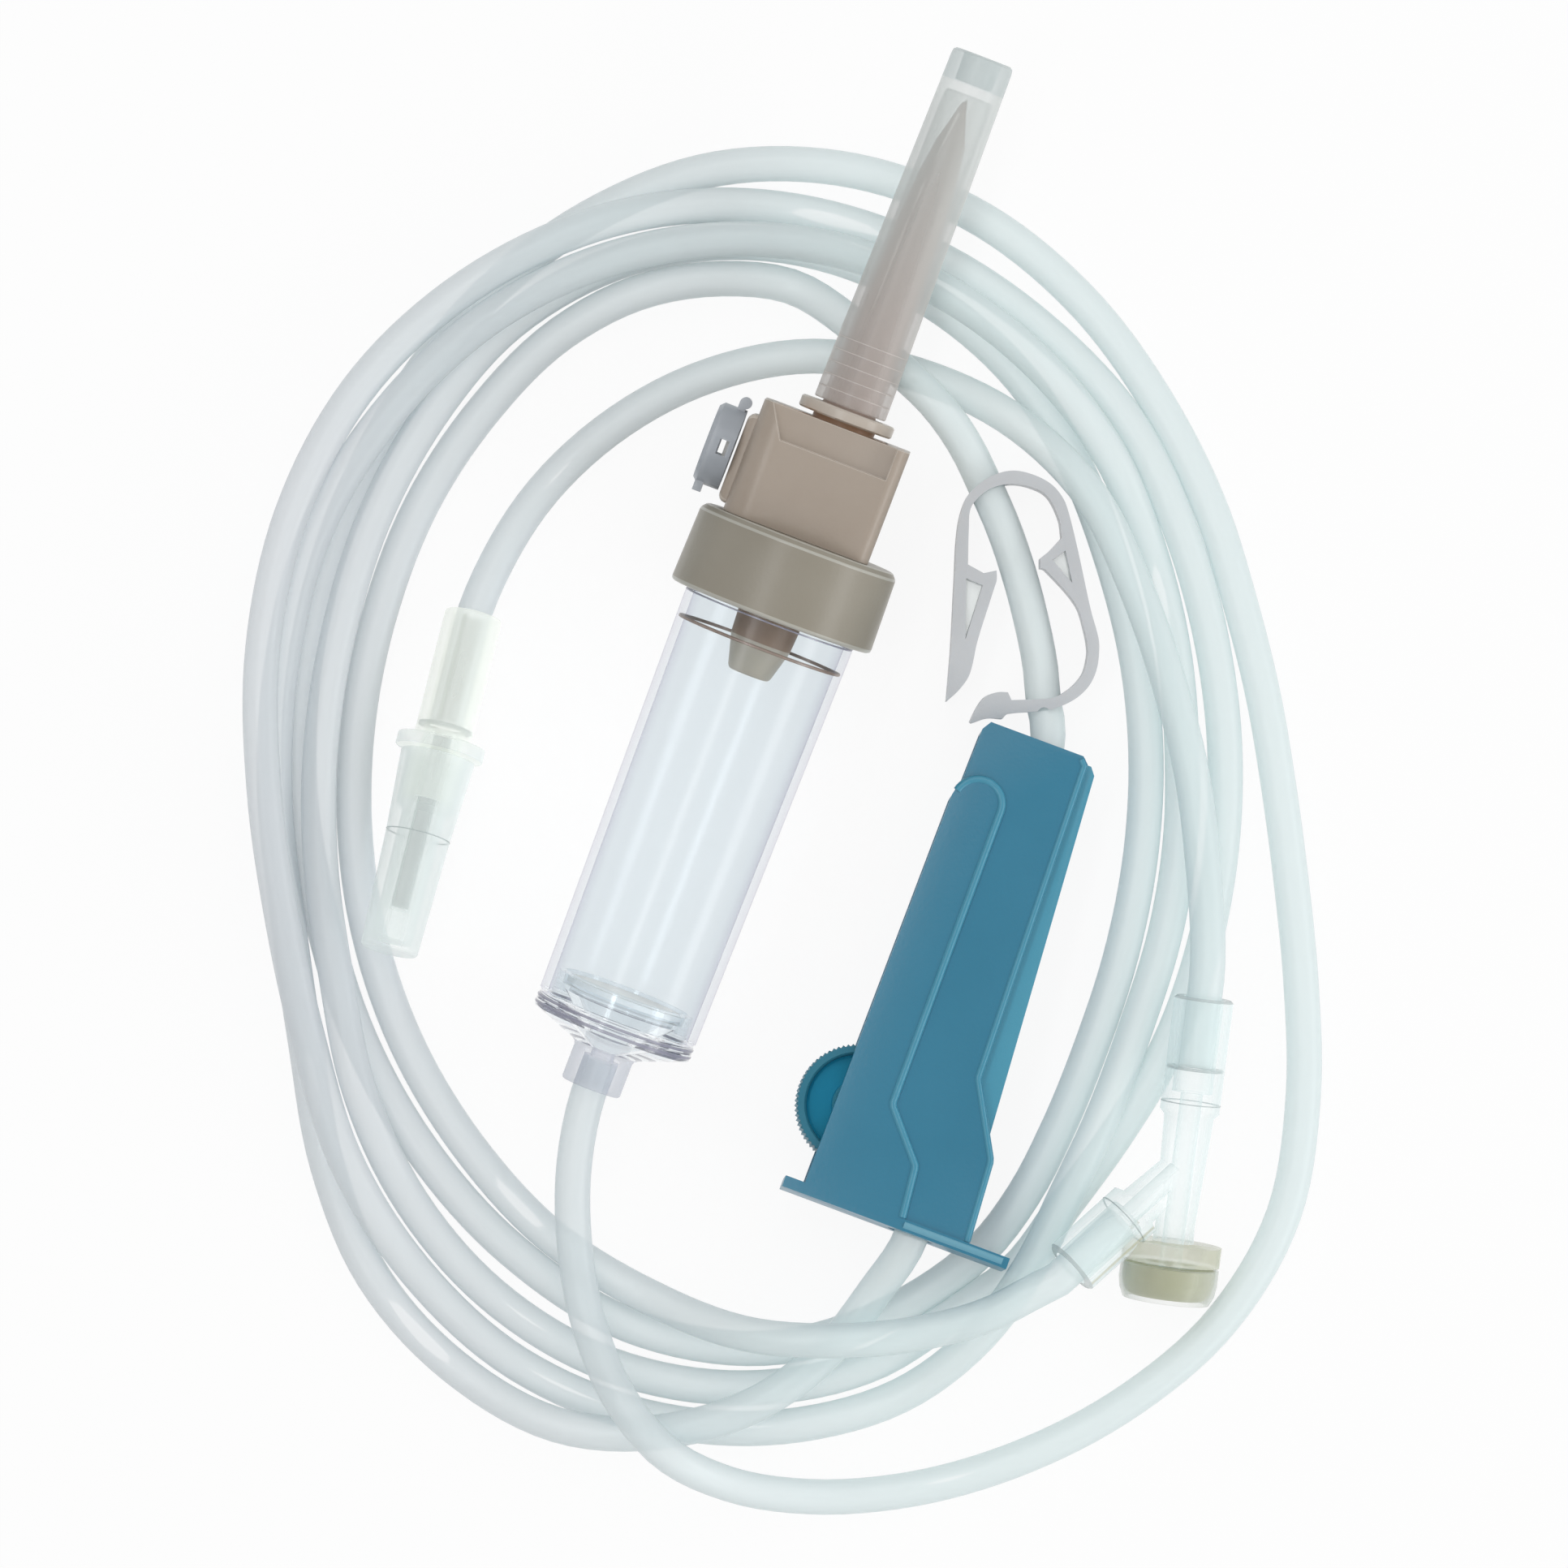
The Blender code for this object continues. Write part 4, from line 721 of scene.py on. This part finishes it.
wheelSet = {"at": (4.85, 11.79), "radius": 7.0, "knurls": 76, "depth": 0.3}
wheelPlace = shifted(clamp, *wheelSet["at"], 0)
wheel = turnedPiece("rollerWheel", wheelPlace, [
    (1.5, -3.8), (2.6, -3.8), (2.85, -3.55), (2.95, -2.4), (5.5, -2.4), (5.75, -2.6), (5.85, -3.6),
    (6.05, -3.8), (6.75, -3.8), (7.0, -3.5), (7.0, -1.2), (7.0, 1.2), (7.0, 3.5), (6.75, 3.8), (6.05, 3.8),
    (5.85, 3.6), (5.75, 2.6), (5.5, 2.4), (2.95, 2.4), (2.85, 3.55), (2.6, 3.8), (1.5, 3.8)],
    2 * wheelSet["knurls"], wheelLook)
takeUp(wheel)
bpy.ops.object.mode_set(mode="EDIT")
bpy.ops.mesh.select_all(action="DESELECT")
bpy.ops.object.mode_set(mode="OBJECT")
backTo = wheelPlace.inverted()
for vert in wheel.data.vertices:  # every other row of the rim goes in, which leaves the fine ridges
    spot = backTo @ vert.co
    row = round(math.atan2(spot.y, spot.x) / (math.pi / wheelSet["knurls"]))
    if math.hypot(spot.x, spot.y) > 6.9 * mm and row % 2:
        vert.select = True
bpy.ops.object.mode_set(mode="EDIT")
shrink = (wheelSet["radius"] - wheelSet["depth"]) / wheelSet["radius"]
bpy.ops.transform.resize(value=(shrink, shrink, 1), center_override=wheelPlace.translation,
                         orient_matrix=wheelPlace.to_3x3(), orient_type="LOCAL", orient_matrix_type="LOCAL")
bpy.ops.object.mode_set(mode="OBJECT")
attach(wheel, "roller_wheel")
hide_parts("roller_wheel")
wheel.data.materials.append(discLitLook)
# painted light: the disc faces take the lighter blue
markFaces(wheel, wheelPlace, 1, lambda c, n: abs(c.z) < 3.3 and math.hypot(c.x, c.y) < 5.7)
print("wheel turned")


# the line, in two cords

lineSet = {"thick": 4.1, "step": 2.0, "sides": 7}


def polar(angle, radius, height):
    a = math.radians(angle)
    return (radius * math.cos(a), radius * math.sin(a), height)


def inClamp(x, y):
    return inFrame(clamp, x, y, 0)


def smoothPath(points, step):
    pts = np.array(points, float)
    gaps = np.linalg.norm(np.diff(pts, axis=0), axis=1)[:, None]
    slope = np.diff(pts, axis=0) / gaps
    middle = (slope[:-1] * gaps[1:] + slope[1:] * gaps[:-1]) / (gaps[:-1] + gaps[1:])
    way = np.vstack([slope[:1], middle, slope[-1:]])
    fine = []
    for i, gap in enumerate(gaps):
        for t in np.linspace(0, 1, 16, endpoint=False):
            fine.append((2 * t ** 3 - 3 * t * t + 1) * pts[i] + (3 * t * t - 2 * t ** 3) * pts[i + 1]
                        + gap * ((t ** 3 - 2 * t * t + t) * way[i] + (t ** 3 - t * t) * way[i + 1]))
    fine = np.array(fine + [pts[-1]])
    run = np.concatenate([[0], np.cumsum(np.linalg.norm(np.diff(fine, axis=0), axis=1))])
    at = np.linspace(0, run[-1], int(round(run[-1] / step)) + 1)
    return np.stack([np.interp(at, run, fine[:, k]) for k in range(3)], axis=1)


firstLoops = [
    polar(241.6, 48.5, 8.9), polar(245.5, 55.9, 7.5), polar(250.9, 65.2, 7.4), polar(256.3, 72.7, 10.5),
    polar(260, 76.5, 10.7), polar(266, 79.9, 6.6), polar(273, 81.6, 3.1), polar(281, 82.2, 2.1),
    polar(290, 82.1, 2.1), polar(300, 81.5, 2.1), polar(310, 80.1, 2.1), polar(320, 76.6, 2.1),
    polar(330, 70.5, 2.1), polar(340, 64.7, 2.1), polar(350, 60.6, 2.1), polar(0, 58.3, 2.1),
    polar(11, 57.5, 2.1), polar(22, 58, 2.1), polar(32.9, 60, 2.1), polar(45, 62.9, 2.1),
    polar(58, 66.9, 2.1), polar(71, 70.5, 2.1), polar(84, 72.4, 2.1), polar(96, 72.2, 2.1),
    polar(108, 69.7, 2.1), polar(120, 66.4, 2.1), polar(135, 62, 2.1), polar(150, 58.7, 2.1),
    polar(165, 56.3, 2.1), polar(180, 54.9, 2.1), polar(195.1, 54.4, 2.1), polar(210, 55.8, 2.1),
    polar(225.1, 58.1, 2.1), polar(240, 61.1, 2.1), polar(255, 64, 2.1), polar(270, 64.3, 2.1),
    polar(285, 61, 2.1), polar(295, 57.8, 2.1), polar(302, 54.6, 2.1), polar(309.7, 51, 2.1),
    polar(321.7, 46.8, 2.1), polar(335, 44.2, 2.1), polar(350, 42.9, 2.1), polar(4.1, 43, 2.1),
    polar(20, 44.5, 2.1), polar(34, 47.1, 2.1), polar(48.1, 51.5, 2.1), polar(60, 55.8, 2.1),
    polar(75, 60.2, 2.1), polar(90, 63.2, 2.1), polar(105, 63.9, 2.1), polar(119.9, 62.1, 2.4),
    polar(132, 59, 4), polar(145, 56.1, 4.5), polar(159.9, 53.6, 4.4), polar(175, 52.6, 5.4),
    polar(190, 53.1, 6.2), polar(203, 54.9, 6.4), polar(214.9, 58.7, 6.3), polar(228, 63.2, 3),
    polar(240, 66.6, 2.1), polar(253, 68.9, 2.1), polar(268, 69, 2.1), polar(280, 67, 2.2),
    polar(289, 63.7, 2.1), polar(296.5, 62, 2.1), polar(305, 58.4, 2.1), polar(315, 55.9, 2.1),
    polar(326, 54.3, 2.1), polar(338, 52.9, 2.1), polar(350, 52.1, 2.1), polar(5, 52.2, 2.1),
    polar(20, 53.5, 2.3), polar(33.1, 55.8, 2.8), polar(45, 58.8, 2.8), polar(60, 61.7, 2.1),
    polar(75, 64.8, 2.1), polar(90, 67.4, 2.2), polar(104, 68.5, 5.7), polar(120, 68.2, 6),
    polar(135, 66.9, 6), polar(150, 64.1, 8.7), polar(165, 61, 9.3), polar(180, 58.7, 9.2),
    polar(195, 58.6, 8), polar(208, 60.9, 6.3), polar(220, 65, 6.2), polar(232, 68.9, 3),
    polar(245, 72.4, 2.1), polar(260.1, 73.9, 2.1), polar(272, 73.3, 2.1), polar(282, 71.2, 2.8),
    polar(291, 66.8, 5.8), polar(298, 62.3, 6.4), polar(306, 57.2, 6.4), polar(315, 53.3, 5.7),
    polar(326, 50, 3), polar(340, 48, 2.1), polar(353, 47.2, 2.1), polar(6, 47.3, 2.1),
    polar(19, 48.8, 2.1), polar(32, 51.3, 2.1), polar(46, 55, 4.6), polar(60, 58.3, 6.1),
    polar(75, 61.5, 6), polar(90, 63.5, 6.2), polar(107, 64.2, 6.2), polar(120, 63.8, 6.2),
    polar(135, 62.4, 6.3), polar(150, 60.9, 5.8), polar(165, 58.8, 5.6), polar(180, 57.7, 5.2),
    polar(195, 58.2, 3.8), polar(208, 61.5, 2.1), polar(220, 67.5, 2.1), polar(230, 72.7, 2.1),
    polar(241, 76.2, 2.1), polar(252, 77.2, 5), polar(261, 74.5, 6.2), polar(269, 70.1, 6.3),
    polar(276, 64.2, 6.1), polar(281.6, 58.4, 7.4),
]
throughRoller = [
    inClamp(15.9, -1.1), inClamp(15.8, 5.6), inClamp(15.4, 14), inClamp(15.1, 23.3),
    inClamp(15.1, 32.6), inClamp(15.1, 41.9), inClamp(14.7, 49.4), inClamp(13.6, 53.4),
    inClamp(11.5, 57), inClamp(10.4, 60.6),
]
throughPinch = [
    (31, 10, 4.8), (30.6, 14.4, 4.3), (29.5, 20, 4.1), (28, 25.6, 4.1),
    (26.2, 30.8, 4.1), (24.3, 35.1, 4.3), (22, 39.8, 5.3), (18.8, 44.3, 6.8),
]
lastLoops = [
    polar(75.8, 51.7, 6.5), polar(82, 55.3, 4.8), polar(88, 58.3, 2.7), polar(96, 59.5, 3.6),
    polar(105, 59.7, 3.8), polar(115, 58.4, 2.5), polar(128, 55.3, 2.1), polar(141, 52.6, 2.1),
    polar(155, 50.2, 2.1), polar(170, 48.9, 2.1), polar(185, 48.8, 2.1), polar(200, 49.8, 2.1),
    polar(215, 51.7, 2.1), polar(230, 54.4, 2.1), polar(243, 57.5, 2.1), polar(256, 60.1, 4.4),
    polar(268, 62.6, 9.4), polar(276, 63.4, 11.1), polar(284, 64.3, 10.3), polar(292, 64.9, 10.4),
    polar(298, 64.7, 10),
]

mainRoute = (
    [inFrame(spikeSet, 0, 0, -3.6), inFrame(spikeSet, 0, 0, -7.3)]
    + firstLoops + throughRoller + throughPinch + lastLoops
    + [inFrame(arm, 0, 0, -2.0), inFrame(arm, 0, 0, 0.5), inFrame(arm, 0, 0, 8.0)])
luerRoute = (
    [inFrame(ySite, 0, 0, 27.3), inFrame(ySite, 0, 0, 35.3), inFrame(ySite, 0, 0, 37.8),
     polar(341, 52.7, 7.2), polar(350, 50.1, 6.2), polar(2, 48.1, 6.5), polar(15, 47.1, 6.1),
     polar(30, 47.8, 6.4), polar(43, 49.8, 7), polar(56, 50.8, 5.2), polar(70, 50.9, 2.1),
     polar(85, 50.5, 2.1), polar(100, 48.5, 2.1), polar(115, 46, 2.1), polar(130, 43.5, 2.1),
     polar(141, 41.6, 2.7),
     inFrame(luer, 0, 0, 40.5), inFrame(luer, 0, 0, 35.5), inFrame(luer, 0, 0, 27.1)])


def lineAlong(name, route, look):
    path = smoothPath(route, lineSet["step"])
    curve = bpy.data.curves.new(name, "CURVE")
    curve.dimensions = "3D"
    curve.bevel_depth = lineSet["thick"] / 2 * mm
    curve.bevel_resolution = lineSet["sides"]
    curve.use_fill_caps = False
    spline = curve.splines.new("POLY")
    spline.points.add(len(path) - 1)
    spots = []
    for point, (x, y, z) in zip(spline.points, path):
        spots.append(((x + coilMiddle["x"]) * mm, (y + coilMiddle["y"]) * mm, z * mm))
        point.co = (*spots[-1], 1.0)
    spline.use_smooth = True
    curve.materials.append(look)
    line = bpy.data.objects.new(name, curve)
    bpy.context.scene.collection.objects.link(line)
    length = sum((Vector(b) - Vector(a)).length for a, b in zip(spots, spots[1:]))
    return line, spots, length


mainLine, mainSpots, mainLong = lineAlong("mainLine", mainRoute, tubeLook)
luerLine, luerSpots, luerLong = lineAlong("luerLine", luerRoute, tubeLook)
for line, spots, length, node in [(mainLine, mainSpots, mainLong, "main_tube"),
                                  (luerLine, luerSpots, luerLong, "luer_tube")]:
    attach(line, "set")
    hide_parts(node)
print("line laid", round(mainLong, 4), round(luerLong, 4))


# floor and light

def seenStraight(tree):
    path = tree.nodes.new("ShaderNodeLightPath")
    socket = path.outputs["Is Camera Ray"]
    for kind in ("Is Glossy Ray", "Is Transmission Ray"):
        either = tree.nodes.new("ShaderNodeMath")
        either.operation = "MAXIMUM"
        tree.links.new(socket, either.inputs[0])
        tree.links.new(path.outputs[kind], either.inputs[1])
        socket = either.outputs[0]
    return socket


stageSet = {"size": 4.0, "sky": 0.55, "floor": (0.9, 0.9, 0.9), "white": 0.9}
bpy.ops.mesh.primitive_plane_add(size=stageSet["size"], location=(0, 0, 0))
floor = bpy.context.object
floor.name = "paleFloor"
floorLook, floorShader, floorOut = freshLook("paleFloor")
floorShader.inputs["Base Color"].default_value = (*stageSet["floor"], 1)
floorShader.inputs["Roughness"].default_value = 0.9
tree = floorLook.node_tree
white = tree.nodes.new("ShaderNodeEmission")
share = tree.nodes.new("ShaderNodeMath")
share.operation = "MULTIPLY"
share.inputs[1].default_value = stageSet["white"]
mix = tree.nodes.new("ShaderNodeMixShader")
tree.links.new(seenStraight(tree), share.inputs[0])
tree.links.new(share.outputs[0], mix.inputs["Fac"])
tree.links.new(floorShader.outputs["BSDF"], mix.inputs[1])
tree.links.new(white.outputs["Emission"], mix.inputs[2])
tree.links.new(mix.outputs["Shader"], floorOut.inputs["Surface"])
floor.data.materials.append(floorLook)

world = bpy.data.worlds.new("paleRoom")
bpy.context.scene.world = world
world.use_nodes = True
tree = world.node_tree
sky = tree.nodes["Background"]
sky.inputs["Color"].default_value = (1, 1, 1, 1)
level = tree.nodes.new("ShaderNodeMapRange")
level.inputs["To Min"].default_value = stageSet["sky"]
level.inputs["To Max"].default_value = 1.0
tree.links.new(seenStraight(tree), level.inputs["Value"])
tree.links.new(level.outputs["Result"], sky.inputs["Strength"])

chamberWay = (0.357, 0.934, 0)
lampSet = [
    {"name": "softLeft", "at": (-0.34, 0.13, 1.25), "size": (0.16, 1.3), "power": 3.5},
    {"name": "softRight", "at": (0.93, -0.36, 0.45), "size": (0.3, 1.4), "power": 4.6},
    {"name": "softTop", "at": (0.27, 0.70, 1.0), "size": (0.9, 0.4), "power": 1.6},
]
for lampFacts in lampSet:
    bpy.ops.object.light_add(type="AREA", location=lampFacts["at"])
    lamp = bpy.context.object
    lamp.name = lampFacts["name"]
    back = Vector(lampFacts["at"]).normalized()
    along = Vector(chamberWay)  # the streaks run along the chamber
    along = (along - along.dot(back) * back).normalized()
    lamp.rotation_euler = Matrix((along.cross(back), along, back)).transposed().to_euler()
    lamp.data.shape = "RECTANGLE"
    lamp.data.size, lamp.data.size_y = lampFacts["size"]
    lamp.data.energy = lampFacts["power"]
print("stage lit")
